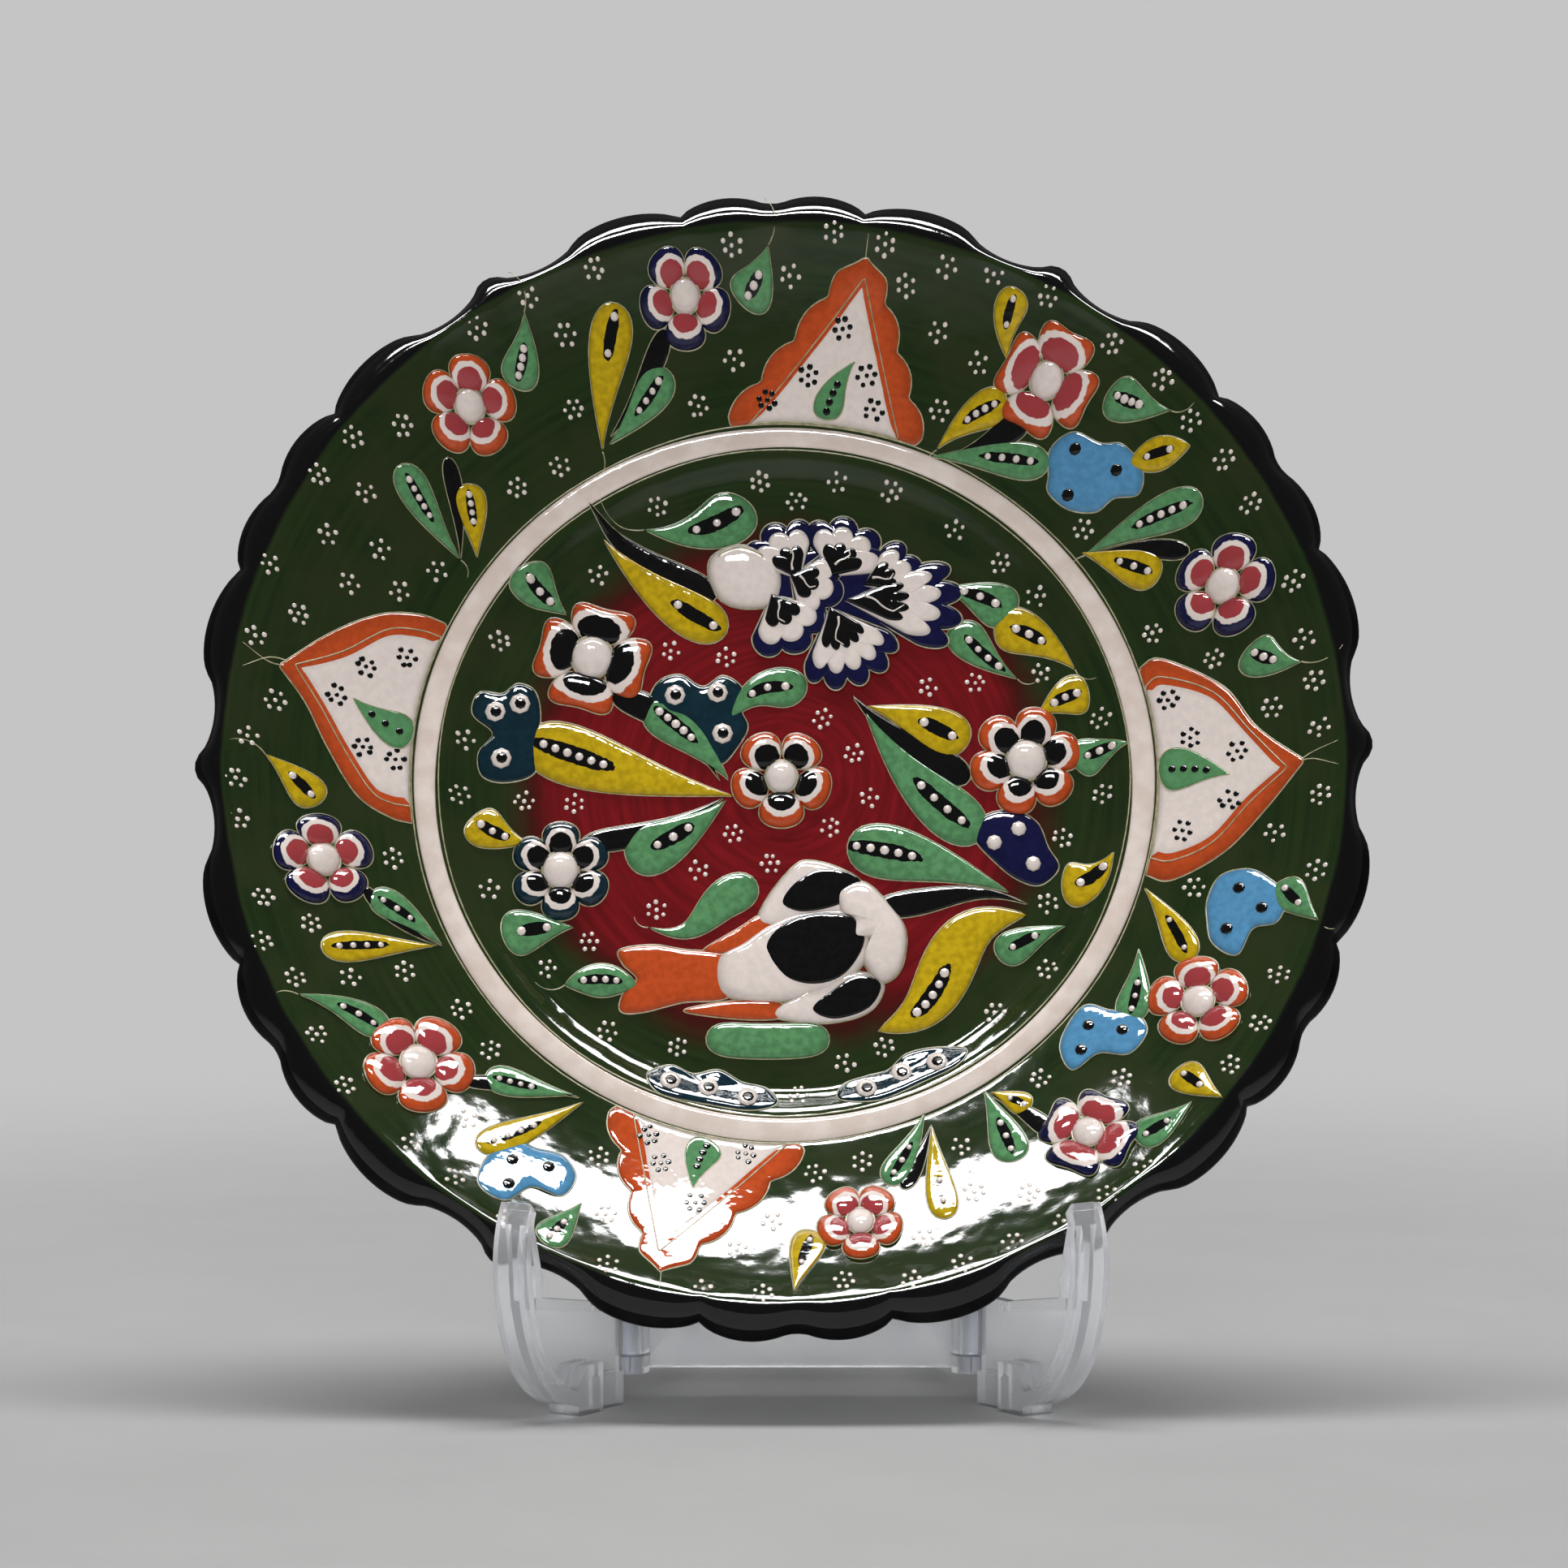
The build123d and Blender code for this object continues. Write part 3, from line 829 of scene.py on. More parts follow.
@dataclass
class Leaf(FlatShape):
    """A leaf or stem: a spine from tip to heel, bowed sideways, with a swelling width."""

    tip: Point
    heel: Point
    width: float
    bow: float = 0.0
    beads: int = 3
    tail: float = 0.0
    kind: LeafKind = LeafKind.DROP
    snake: float = 0.0
    slit_middle: float = 0.66
    slit_length: float = 0.5

    def spine(self, share: np.ndarray) -> tuple[np.ndarray, np.ndarray]:
        """Places along the spine, and the direction across it there.

        Args:
            share: Nought at the tip, one at the heel.

        Returns:
            The places and the sideways directions.
        """
        start, end = np.array(self.tip), np.array(self.heel)
        run = end - start
        length = float(np.linalg.norm(run))
        side = np.array([-run[1], run[0]]) / length
        shift = self.bow * 4 * share * (1 - share) + self.snake * np.sin(2 * math.pi * share)
        swing = self.snake * 2 * math.pi * np.cos(2 * math.pi * share)
        slope = (self.bow * 4 * (1 - 2 * share) + swing) / length
        places = start + run * share[:, None] + side * shift[:, None]
        across = side[None, :] - (run / length)[None, :] * slope[:, None]
        return places, across / np.linalg.norm(across, axis=1)[:, None]

    def half_width(self, share: np.ndarray) -> np.ndarray:
        """Half of the leaf's width along its spine.

        Args:
            share: Nought at the tip, one at the heel.

        Returns:
            Half widths in millimetres.
        """
        if self.kind is LeafKind.DROP:
            swell = share**1.15 * np.sqrt(np.clip(1 - share**4, 0, 1)) / 0.585
        elif self.kind is LeafKind.LENS:
            swell = np.sin(math.pi * share) ** 0.85
        else:
            swell = np.sqrt(np.clip(1 - np.abs(2 * share - 1) ** 6, 0, 1))
        return self.width / 2 * swell

    def parts(self, across: np.ndarray, up: np.ndarray) -> tuple[np.ndarray, np.ndarray]:
        """Share along the spine and signed distance beside it.

        Args:
            across: First coordinate on the unit disc.
            up: Second coordinate on the unit disc.

        Returns:
            The shares and the distances.
        """
        share = (across + 1) / 2
        chord = np.sqrt(np.clip(1 - across**2, 1e-9, 1))
        return share, np.clip(up / chord, -1, 1) * self.half_width(share)

    def spot(self, across: np.ndarray, up: np.ndarray) -> np.ndarray:
        """Place on the plate of each place on the unit disc.

        Args:
            across: First coordinate on the unit disc.
            up: Second coordinate on the unit disc.

        Returns:
            One row each.
        """
        share, beside = self.parts(across, up)
        places, side = self.spine(share)
        return places + side * beside[:, None]

    def pattern(self, across: np.ndarray, up: np.ndarray) -> np.ndarray:
        """Pattern coordinates: the slit is where both are within one of nought.

        Args:
            across: First coordinate on the unit disc.
            up: Second coordinate on the unit disc.

        Returns:
            One row each.
        """
        share, beside = self.parts(across, up)
        if self.beads == 0:
            return np.column_stack([share * 0 + 9, share * 0 + 9])
        slit_width = max(0.62, self.width * 0.145)
        return np.column_stack([(share - self.slit_middle) / (self.slit_length / 2), beside / slit_width])

    def bead_places(self) -> np.ndarray:
        """Where the slit's beads sit.

        Returns:
            One place for each bead.
        """
        reach = self.slit_length * 0.36
        share = self.slit_middle + np.linspace(-reach, reach, self.beads)
        return self.spine(share)[0]


@dataclass
class Star(FlatShape):
    """A shape given by its edge, filled in from a point inside it."""

    line: np.ndarray
    middle: np.ndarray
    axis: Point = (1.0, 0.0)
    reach: float = 1.0
    girth: float = 1.0

    def spot(self, across: np.ndarray, up: np.ndarray) -> np.ndarray:
        """Place on the plate of each place on the unit disc.

        Args:
            across: First coordinate on the unit disc.
            up: Second coordinate on the unit disc.

        Returns:
            One row each.
        """
        count = len(self.line)
        where = (np.arctan2(up, across) / (2 * math.pi) % 1) * count
        base = np.floor(where).astype(int) % count
        rest = (where - np.floor(where))[:, None]
        on_edge = self.line[base] * (1 - rest) + self.line[(base + 1) % count] * rest
        return self.middle + (on_edge - self.middle) * np.hypot(across, up)[:, None]

    def pattern(self, across: np.ndarray, up: np.ndarray) -> np.ndarray:
        """Pattern coordinates along and across the shape's own axis.

        Args:
            across: First coordinate on the unit disc.
            up: Second coordinate on the unit disc.

        Returns:
            One row each.
        """
        away = self.spot(across, up) - self.middle
        along = away @ np.array(self.axis) / self.reach
        return np.column_stack([along, away @ np.array((-self.axis[1], self.axis[0])) / self.girth])


def star(points: np.ndarray | list[Point], smooth: bool = True, middle: Point | None = None) -> Star:
    """Shape from the corners of its edge.

    Args:
        points: Corners of the edge.
        smooth: Whether the edge runs smoothly through its corners.
        middle: Point that the shape is filled in from.

    Returns:
        The shape.
    """
    line = smooth_loop(list(points)) if smooth else np.array(points, float)
    line = spaced(line, 240, True)
    centre = line.mean(axis=0) if middle is None else np.array(middle, float)
    return Star(line, centre)


# ---- Laying enamel on the plate ----------------------------------------------------------------


class ReliefSheet:
    """Raised enamel shapes laid on the plate's face and gathered into one piece."""

    PAD_OUT = np.array([0.93, 1.0, 0.985, 0.95, 0.89, 0.79, 0.62, 0.36, 0.12])
    PAD_UP = np.array([-9.0, 0.0, 0.40, 0.66, 0.83, 0.94, 1.0, 1.02, 1.03])
    DOME_UP = np.array([-9.0, 0.0, 0.17, 0.31, 0.456, 0.613, 0.785, 0.933, 0.993])
    BEAD_OUT = np.array([0.9, 1.0, 0.88, 0.52])
    BEAD_UP = np.array([-9.0, 0.0, 0.55, 0.92])
    SINK = 0.35

    def __init__(self, name: str, materials: list[bpy.types.Material]) -> None:
        """Start an empty sheet.

        Args:
            name: Name of the piece.
            materials: Its finishes; shapes name theirs by position.
        """
        self.name = name
        self.materials = materials
        self.corners: list[np.ndarray] = []
        self.faces: list[tuple[int, ...]] = []
        self.paints: list[int] = []
        self.patterns: list[np.ndarray] = []
        self.edges: list[np.ndarray] = []
        self.total = 0

    def keep(self, places: np.ndarray, faces: list[tuple[int, ...]], paint: int,
             pattern: np.ndarray | None = None, edge: np.ndarray | None = None) -> None:
        """Add one shape's corners and faces.

        Args:
            places: Rows of x, y and height on the plate.
            faces: Corners of each face.
            paint: Position of its finish.
            pattern: Pattern coordinates of each corner.
            edge: How near each corner is to the shape's edge.
        """
        count = len(places)
        self.corners.append(places)
        self.faces.extend(tuple(index + self.total for index in face) for face in faces)
        self.paints.extend([paint] * len(faces))
        self.patterns.append(np.zeros((count, 2)) if pattern is None else pattern)
        self.edges.append(np.zeros(count) if edge is None else edge)
        self.total += count

    def pad(self, shape: FlatShape, height: float, paint: int = 0, lift: float = 0.0, fine: bool = False,
            domed: float = 0.0) -> None:
        """Lay a pillow of enamel over a flat shape.

        Args:
            shape: The shape on the plate's face.
            height: How far it stands above its base, in millimetres.
            paint: Position of its finish.
            lift: Height of its base above the glaze.
            fine: Whether the edge needs many corners.
            domed: Nought for a flat top with round edges, one for a full dome.
        """
        blank = FINE_PAD if fine else PAD
        out = np.where(blank.pole, 0.0, self.PAD_OUT[blank.ring])
        across, up = out * np.cos(blank.angle), out * np.sin(blank.angle)
        flat = shape.spot(across, up)
        rise = (self.PAD_UP * (1 - domed) + self.DOME_UP * domed)[blank.ring]
        rise = np.where(rise < -1, -self.SINK, lift + rise * height)
        ground = SHAPE.face(np.hypot(flat[:, 0], flat[:, 1]))
        self.keep(np.column_stack([flat, ground + rise]), blank.faces, paint, shape.pattern(across, up), out)

    def bead(self, place: np.ndarray | Point, radius: float, height: float, paint: int = 0,
             lift: float = 0.0) -> None:
        """Set one round drop of enamel.

        Args:
            place: Where it sits on the plate.
            radius: Its radius.
            height: How far it stands above its base.
            paint: Position of its finish.
            lift: Height of its base above the glaze.
        """
        blank = BEAD
        out = np.where(blank.pole, 0.0, self.BEAD_OUT[blank.ring]) * radius
        rise = np.where(blank.pole & (blank.ring > 0), 1.0, self.BEAD_UP[blank.ring])
        rise = np.where(rise < -1, max(-self.SINK, lift - 0.5), lift + rise * height)
        across, up = place[0] + out * np.cos(blank.angle), place[1] + out * np.sin(blank.angle)
        ground = SHAPE.face(np.hypot(place[0], place[1]) + 0 * out)
        slope = SHAPE.face(np.hypot(across, up)) - ground
        corners = np.column_stack([across, up, ground + slope + rise])
        self.keep(corners, blank.faces, paint, edge=out / radius * 0.7)

    def loop(self, line: np.ndarray, radius: float, paint: int = 0, lift: float = 0.02) -> None:
        """Lay a thin closed line of slip.

        Args:
            line: Places along the line, one per section of the loop blank.
            radius: Half of the line's thickness.
            paint: Position of its finish.
            lift: Height of its middle above the glaze.
        """
        blank = LOOP if len(line) == LOOP_SECTIONS else FINE_LOOP
        run = np.roll(line, -1, axis=0) - np.roll(line, 1, axis=0)
        run /= np.maximum(np.linalg.norm(run, axis=1), 1e-6)[:, None]
        side = np.column_stack([run[:, 1], -run[:, 0]])
        flat = line[blank.along] + side[blank.along] * (np.cos(blank.around) * radius)[:, None]
        ground = SHAPE.face(np.hypot(flat[:, 0], flat[:, 1])) + lift + np.sin(blank.around) * radius
        self.keep(np.column_stack([flat, ground]), blank.faces, paint)

    def strand(self, line: np.ndarray, radius: float, paint: int = 0, lift: float = 0.02) -> None:
        """Lay a thin open line that tapers away at its end.

        Args:
            line: Places along the line.
            radius: Half of the line's thickness at its root.
            paint: Position of its finish.
            lift: Height of its middle above the glaze.
        """
        blank = STRAND
        path = spaced(line, STRAND_RINGS, False)
        run = np.gradient(path, axis=0)
        run /= np.linalg.norm(run, axis=1)[:, None]
        side = np.column_stack([run[:, 1], -run[:, 0]])
        thick = radius * (1.0 - 0.65 * blank.ring / (STRAND_RINGS - 1)) * ~blank.pole
        flat = path[blank.ring] + side[blank.ring] * (np.cos(blank.angle) * thick)[:, None]
        ground = SHAPE.face(np.hypot(flat[:, 0], flat[:, 1])) + lift + np.sin(blank.angle) * thick
        self.keep(np.column_stack([flat, ground]), blank.faces, paint)

    def outline(self, shape: FlatShape, radius: float = 0.13, paint: int = 0, lift: float = 0.02,
                fine: bool = False) -> None:
        """Draw the line of slip round a shape."""
        self.loop(shape.edge(FINE_SECTIONS if fine else LOOP_SECTIONS), radius, paint, lift)

    def piece(self, slot: str, *nodes: str) -> bpy.types.Object:
        """Make the sheet one piece that rides on the plate.

        Args:
            slot: Name of a material slot; it is not used.
            nodes: CAD nodes that the piece stands for.

        Returns:
            The finished piece.
        """
        places = SEAT.seated(np.vstack(self.corners))
        return finished_piece(self.name, places, self.faces, self.materials, PLATE, nodes,
                              self.paints, np.vstack(self.patterns), np.concatenate(self.edges))


def finished_piece(name: str, places: np.ndarray, faces: list[tuple[int, ...]],
                   materials: list[bpy.types.Material], body: str,
                   nodes: tuple[str, ...] = (), paints: list[int] | None = None,
                   pattern: np.ndarray | None = None, edge: np.ndarray | None = None) -> bpy.types.Object:
    """Turn corners and faces into a smooth piece on its body.

    Args:
        name: Name of the piece.
        places: World positions of its corners, in metres.
        faces: Corners of each face.
        materials: Its finishes.
        body: Body that the piece moves with.
        nodes: CAD nodes that the piece stands for.
        paints: Finish of each face, by position.
        pattern: Pattern coordinates of each corner.
        edge: How near each corner is to the edge of its shape.

    Returns:
        The finished piece.
    """
    mesh = bpy.data.meshes.new(name)
    mesh.from_pydata(places.tolist(), [], faces)
    for material in materials:
        mesh.materials.append(material)
    if paints is not None:
        mesh.polygons.foreach_set("material_index", np.array(paints, np.int32))
    if pattern is not None:
        layer = mesh.uv_layers.new(name="motif")
        corner_of = np.empty(len(mesh.loops), np.int32)
        mesh.loops.foreach_get("vertex_index", corner_of)
        layer.data.foreach_set("uv", pattern[corner_of].astype(np.float32).ravel())
    if edge is not None:
        mesh.attributes.new("edge", "FLOAT", "POINT").data.foreach_set("value", edge.astype(np.float32))
    mesh.polygons.foreach_set("use_smooth", np.ones(len(faces), bool))
    mesh.update()
    piece = bpy.data.objects.new(name, mesh)
    bpy.context.scene.collection.objects.link(piece)
    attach(piece, body)
    if nodes:
        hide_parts(*nodes)
    LOG.info("%s: %d faces", name, len(faces))
    return piece


LOOP_SECTIONS = 44
FINE_SECTIONS = 120
STRAND_RINGS = 12
PAD = turned_blank(40, 9)
FINE_PAD = turned_blank(120, 9)
BEAD = turned_blank(8, 4)
LOOP = loop_blank(LOOP_SECTIONS, 4)
FINE_LOOP = loop_blank(FINE_SECTIONS, 4)
STRAND = turned_blank(4, STRAND_RINGS)


# ---- The plate's body and its ring ---------------------------------------------------------------


@dataclass
class PlateBody:
    """The glazed plate: painted face, rolled scalloped lip, back and foot."""

    palette: Palette
    segments: int = 480

    def profile(self) -> list[tuple[float, float, float]]:
        """Stations of the section, from the middle of the face round to the middle of the back.

        Returns:
            Radius, height, and share of the way from the crest to the rim where the scallop acts.
        """
        shape = SHAPE
        radii = [0.0, 8, 16, 24, 32, 39, 44, 46, 47, 48, 49, 50, 51, 52, 53, 54, 55, 56, 57, 57.5,
                 58.5, 60, 62, 64, 66, 68, 70, 72, 74, 76, 78, 80, 82, 83.4]
        stations = [(radius, float(shape.face(np.array(radius))), -1.0) for radius in radii[1:]]
        crest, edge = shape.crest_height, shape.crest_radius
        for share in (0.0, 0.1, 0.2, 0.3, 0.4, 0.5, 0.6, 0.7, 0.8, 0.88, 0.94, 0.98):
            lip = crest + 5.0 * share * (1 - share) ** 1.2 - 2.4 * share**2.6
            stations.append((edge, lip, share))
        stations += [(edge, crest - 2.7, 1.0), (edge, crest - 3.3, 0.992), (edge, crest - 4.0, 0.955),
                     (edge, crest - 4.6, 0.88), (edge, crest - 5.1, 0.76), (edge, crest - 5.4, 0.5),
                     (edge, crest - 5.5, 0.0)]
        for radius in (80.0, 75.0, 70.0, 66.0, 62.0, 58.0, 54.5):
            drop = shape.wall * (1.0 + 0.3 * (radius - 54.0) / 30.0)
            stations.append((radius, float(shape.face(np.array(radius))) - drop, -1.0))
        stations += [(53.0, 3.1, -1), (52.4, 2.0, -1), (51.8, 0.8, -1), (51.3, 0.2, -1), (50.8, 0.0, -1),
                     (49.0, 0.0, -1), (47.2, 0.0, -1), (46.7, 0.2, -1), (46.3, 0.8, -1), (45.6, 1.3, -1),
                     (44.0, 1.4, -1), (30.0, 1.4, -1), (12.0, 1.4, -1)]
        return stations

    def build(self) -> bpy.types.Object:
        """Model the plate and dress it.

        Returns:
            The plate's piece.
        """
        stations = self.profile()
        blank = turned_blank(self.segments, len(stations))
        rim = SHAPE.rim(blank.angle)
        table = np.array(stations)
        radius, height, share = (table[blank.ring, column] for column in range(3))
        scalloped = SHAPE.crest_radius + share * (rim - SHAPE.crest_radius)
        radius = np.where(share >= 0, scalloped, radius)
        radius = np.where(blank.pole, 0.0, radius)
        places = np.column_stack([radius * np.cos(blank.angle), radius * np.sin(blank.angle), height])
        back_start = max(index for index, row in enumerate(stations) if row[2] >= 1.0)
        rings = np.array([blank.ring[list(face)].min() for face in blank.faces])
        tops = np.array([blank.ring[list(face)].max() for face in blank.faces])
        faces = blank.faces
        foot_first = next(
            index for index, row in enumerate(stations) if index > back_start and row[1] <= 0.2
        )
        wall_start = next(index for index, row in enumerate(stations) if row[2] >= 0.8)
        paints = np.where(rings > back_start + 2, 1, np.where(rings >= wall_start, 3, 0))
        paints = np.where((rings >= foot_first) & (tops <= foot_first + 4), 2, paints)
        finishes = [self.palette.painted, self.palette.back, self.palette.clay, self.palette.lip]
        piece = finished_piece("glazed_plate", SEAT.seated(places), faces, finishes,
                               PLATE, ("plate_body",), list(paints))
        outward_faces(piece)
        return piece


def outward_faces(piece: bpy.types.Object) -> None:
    """Turn every face of a closed piece outwards.

    Args:
        piece: The piece.
    """
    deselect_all()
    piece.select_set(True)
    bpy.context.view_layer.objects.active = piece
    bpy.ops.object.mode_set(mode="EDIT")
    bpy.ops.mesh.select_all(action="SELECT")
    bpy.ops.mesh.normals_make_consistent(inside=False)
    bpy.ops.object.mode_set(mode="OBJECT")
    deselect_all()


@dataclass
class CreamRing:
    """The raised cream band between the well and the flange, with the slip lines beside it."""

    palette: Palette
    segments: int = 240
    rise: float = 0.38

    def build(self) -> bpy.types.Object:
        """Model the ring as a domed band sunk in the glaze.

        Returns:
            The ring's piece.
        """
        sheet = ReliefSheet("cream_ring_band", [self.palette.ring, self.palette.line])
        middle = (SHAPE.ring_inner + SHAPE.ring_outer) / 2
        half = (SHAPE.ring_outer - SHAPE.ring_inner) / 2
        blank = loop_blank(self.segments, 12)
        turn = 2 * math.pi * blank.along / self.segments
        uneven = 1 + 0.05 * np.sin(3 * turn + 0.7) + 0.03 * np.sin(7 * turn)
        out = middle + np.cos(blank.around) * half * uneven
        rise = np.where(np.sin(blank.around) > 0, self.rise * np.sin(blank.around) ** 0.7, 0.0)
        height = SHAPE.face(out) + rise
        height = np.where(np.sin(blank.around) < -0.1, SHAPE.ring_height - 0.45, height)
        places = np.column_stack([out * np.cos(turn), out * np.sin(turn), height])
        sheet.keep(places, blank.faces, 0)
        for radius in (SHAPE.ring_inner - 0.35, SHAPE.ring_outer + 0.35):
            turns = np.linspace(0, 2 * math.pi, FINE_SECTIONS, endpoint=False)
            wobble = radius + 0.08 * np.sin(5 * turns) + 0.06 * np.sin(11 * turns + 1)
            sheet.loop(np.column_stack([wobble * np.cos(turns), wobble * np.sin(turns)]), 0.12, 1)
        return sheet.piece("cream_glaze", "cream_ring")


# ---- Cartouches ----------------------------------------------------------------------------------


def polar(radius: float, degrees: float) -> Point:
    """Place on the plate from a radius and an angle."""
    turn = math.radians(degrees)
    return (radius * math.cos(turn), radius * math.sin(turn))


def arc(radius: float, start: float, end: float, count: int = 12) -> list[Point]:
    """Places along an arc about the plate's middle."""
    return [polar(radius, float(turn)) for turn in np.linspace(start, end, count)]


@dataclass
class Cartouche:
    """A white pointed field on the flange with an orange border and black dot flowers.

    A border with side points swings through them to its tip; one without has scalloped sides.
    """

    name: str
    tip: Point
    base: tuple[float, float]
    field_tip: Point
    field_base: tuple[float, float]
    palette: Palette
    leaf: Leaf
    clusters: tuple[Point, ...]
    tails: tuple[tuple[Point, ...], ...]
    sides: tuple[tuple[Point, ...], tuple[Point, ...]] = ((), ())
    field_sides: tuple[tuple[Point, ...], tuple[Point, ...]] = ((), ())
    lobes: int = 4

    def side(self, foot: np.ndarray, tip: np.ndarray, points: tuple[Point, ...], lobes: int) -> np.ndarray:
        """One side of the cartouche, from its foot to its tip.

        Args:
            foot: Where the side starts, at the ring.
            tip: Where it ends.
            points: Points that it swings through.
            lobes: Scallops along it, when it has no points.

        Returns:
            Places along the side.
        """
        if points:
            return smooth_line([tuple(foot), *points, tuple(tip)])
        shares = np.linspace(0, 1, 60)
        run = tip - foot
        out = np.array([run[1], -run[0]]) / np.linalg.norm(run)
        middle = np.array(polar(SHAPE.ring_outer, sum(self.base) / 2))
        if np.dot(out, foot - middle) < 0:
            out = -out
        lobing = 1.5 * np.abs(np.sin(math.pi * lobes * shares)) ** 0.7
        swell = (lobing + 0.7) * np.clip((1 - shares) * 7, 0, 1)
        return foot + run * shares[:, None] + out * (swell if lobes else 0 * swell)[:, None]

    def edge_of(self, tip: Point, base: tuple[float, float],
                sides: tuple[tuple[Point, ...], tuple[Point, ...]], lobes: int) -> Star:
        """Shape of the border or of the field.

        Args:
            tip: The point.
            base: Angles of the two feet.
            sides: Points on the sides that rise from the second foot and from the first.
            lobes: Scallops along each side.

        Returns:
            The shape.
        """
        foot = SHAPE.ring_outer + 0.5
        apex = np.array(tip)
        rising = self.side(np.array(polar(foot, base[1])), apex, sides[0], lobes)
        falling = self.side(np.array(polar(foot, base[0])), apex, sides[1], lobes)[::-1]
        return star(np.vstack([arc(foot, *base), rising[1:], falling[1:-1]]), smooth=False)

    def build(self) -> bpy.types.Object:
        """Model the cartouche.

        Returns:
            The cartouche's piece.
        """
        palette = self.palette
        used = (Paint.ORANGE, Paint.WHITE, Paint.BLACK, Paint.LEAF_GREEN)
        sheet = ReliefSheet(f"{self.name}_enamel", [palette.plain[paint] for paint in used] + [palette.line])
        border = self.edge_of(self.tip, self.base, self.sides, self.lobes)
        inner = self.edge_of(self.field_tip, self.field_base, self.field_sides, 0)
        OCCUPIED.append(border.line)
        sheet.pad(border, 0.62, 0, fine=True)
        sheet.pad(inner, 0.78, 1, fine=True)
        sheet.outline(border, 0.15, 4, 0.05, fine=True)
        sheet.outline(inner, 0.11, 4, 0.62, fine=True)
        sheet.pad(self.leaf, 0.3, 3, lift=0.7)
        sheet.outline(self.leaf, 0.1, 4, 0.82)
        for place in self.leaf.bead_places():
            sheet.bead(place, 0.62, 0.22, 2, lift=0.98)
        drawing = random.Random(self.name)
        for middle in self.clusters:
            start = drawing.uniform(0, math.tau)
            for spoke in range(6):
                turn = start + spoke * math.tau / 6 + drawing.uniform(-0.2, 0.2)
                away = drawing.uniform(1.15, 1.5)
                place = (middle[0] + away * math.cos(turn), middle[1] + away * math.sin(turn))
                sheet.bead(place, drawing.uniform(0.42, 0.52), 0.16, 2, lift=0.74)
            sheet.bead(middle, 0.4, 0.14, 2, lift=0.74)
        for tail in self.tails:
            sheet.strand(smooth_line(list(tail)), 0.14, 4, 0.06)
        return sheet.piece("white_enamel", self.name)


def cartouches(palette: Palette) -> tuple[Cartouche, ...]:
    """The four cartouches of the flange.

    Args:
        palette: The finishes.

    Returns:
        The top, bottom, right and left cartouches.
    """
    return (
        Cartouche(
            name="top_cartouche", palette=palette,
            tip=(12.9, 80.9), base=(98.2, 69.2), field_tip=(12.6, 78.0), field_base=(95.4, 71.9),
            leaf=Leaf((11.2, 66.6), (6.4, 58.2), 4.6, bow=-0.8, beads=4, slit_length=0.6),
            clusters=((9.2, 71.1), (13.0, 64.5), (3.8, 64.7), (14.1, 59.6), (-2.6, 61.2)),
            tails=(((12.6, 78.0), (12.8, 81.0), (13.4, 85.0)),),
        ),
        Cartouche(
            name="bottom_cartouche", palette=palette,
            tip=(-18.6, -80.8), base=(243.8, 272.6), field_tip=(-18.8, -77.2), field_base=(246.6, 270.6),
            leaf=Leaf((-13.8, -66.0), (-11.2, -57.6), 5.4, bow=0.6, beads=4, slit_length=0.6),
            clusters=((-20.6, -56.9), (-18.7, -61.7), (-5.8, -59.8), (-13.4, -68.4)),
            tails=(((-18.8, -77.2), (-18.4, -81.0), (-18.7, -84.2)),),
        ),
        Cartouche(
            name="right_cartouche", palette=palette,
            tip=(79.8, -0.5), base=(-15.6, 17.8), field_tip=(77.2, -1.3), field_base=(-12.9, 14.6),
            leaf=Leaf((68.8, -1.0), (58.0, 1.0), 6.8, bow=-0.6, beads=4, slit_length=0.66, slit_middle=0.58),
            clusters=((59.6, 12.1), (62.9, 5.7), (69.9, 2.6), (68.6, -5.1), (61.5, -9.0)),
            tails=(
                ((77.5, -1.2), (80.5, -0.4), (84.6, -2.2)),
                ((77.5, -1.6), (80.5, 0.4), (84.6, 1.6)),
            ),
            sides=(
                ((58.7, 18.9), (67.9, 13.4), (72.9, 6.1)),
                ((59.7, -16.8), (67.5, -13.3), (73.6, -7.6)),
            ),
            field_sides=(
                ((58.7, 15.9), (66.4, 12.5), (71.9, 5.5)),
                ((59.8, -13.7), (66.0, -11.4), (71.7, -5.7)),
            ),
        ),
        Cartouche(
            name="left_cartouche", palette=palette,
            tip=(-77.8, 14.8), base=(187.2, 154.6), field_tip=(-75.4, 15.2), field_base=(184.6, 157.0),
            leaf=Leaf((-66.8, 11.6), (-57.6, 6.4), 5.6, bow=-0.6, beads=3, slit_length=0.62,
                      slit_middle=0.58),
            clusters=((-64.8, 16.7), (-58.6, 18.9), (-69.1, 11.6), (-65.1, 4.0), (-60.2, 2.6)),
            tails=(
                ((-75.4, 15.2), (-79.0, 15.0), (-83.0, 17.2)),
                ((-75.4, 15.6), (-79.0, 15.8), (-83.0, 13.6)),
            ),
            sides=(
                ((-56.8, 26.0), (-62.9, 25.2), (-70.2, 21.2)),
                ((-61.0, -6.6), (-66.0, -3.6), (-70.6, 3.6), (-73.8, 9.8)),
            ),
            field_sides=(
                ((-56.6, 23.4), (-61.6, 22.9), (-68.2, 18.6)),
                ((-60.8, -4.4), (-63.8, -2.8), (-68.0, 3.4), (-71.6, 9.6)),
            ),
        ),
    )


# ---- Blossoms ------------------------------------------------------------------------------------


OCCUPIED: list[np.ndarray] = []


@dataclass(frozen=True)
class Blossom:
    """One flower: where it is, its size, its petals and its colouring."""

    place: Point
    radius: float
    petals: int
    turn: float
    colouring: str
    wavy: bool = False
    centre: float = 0.33


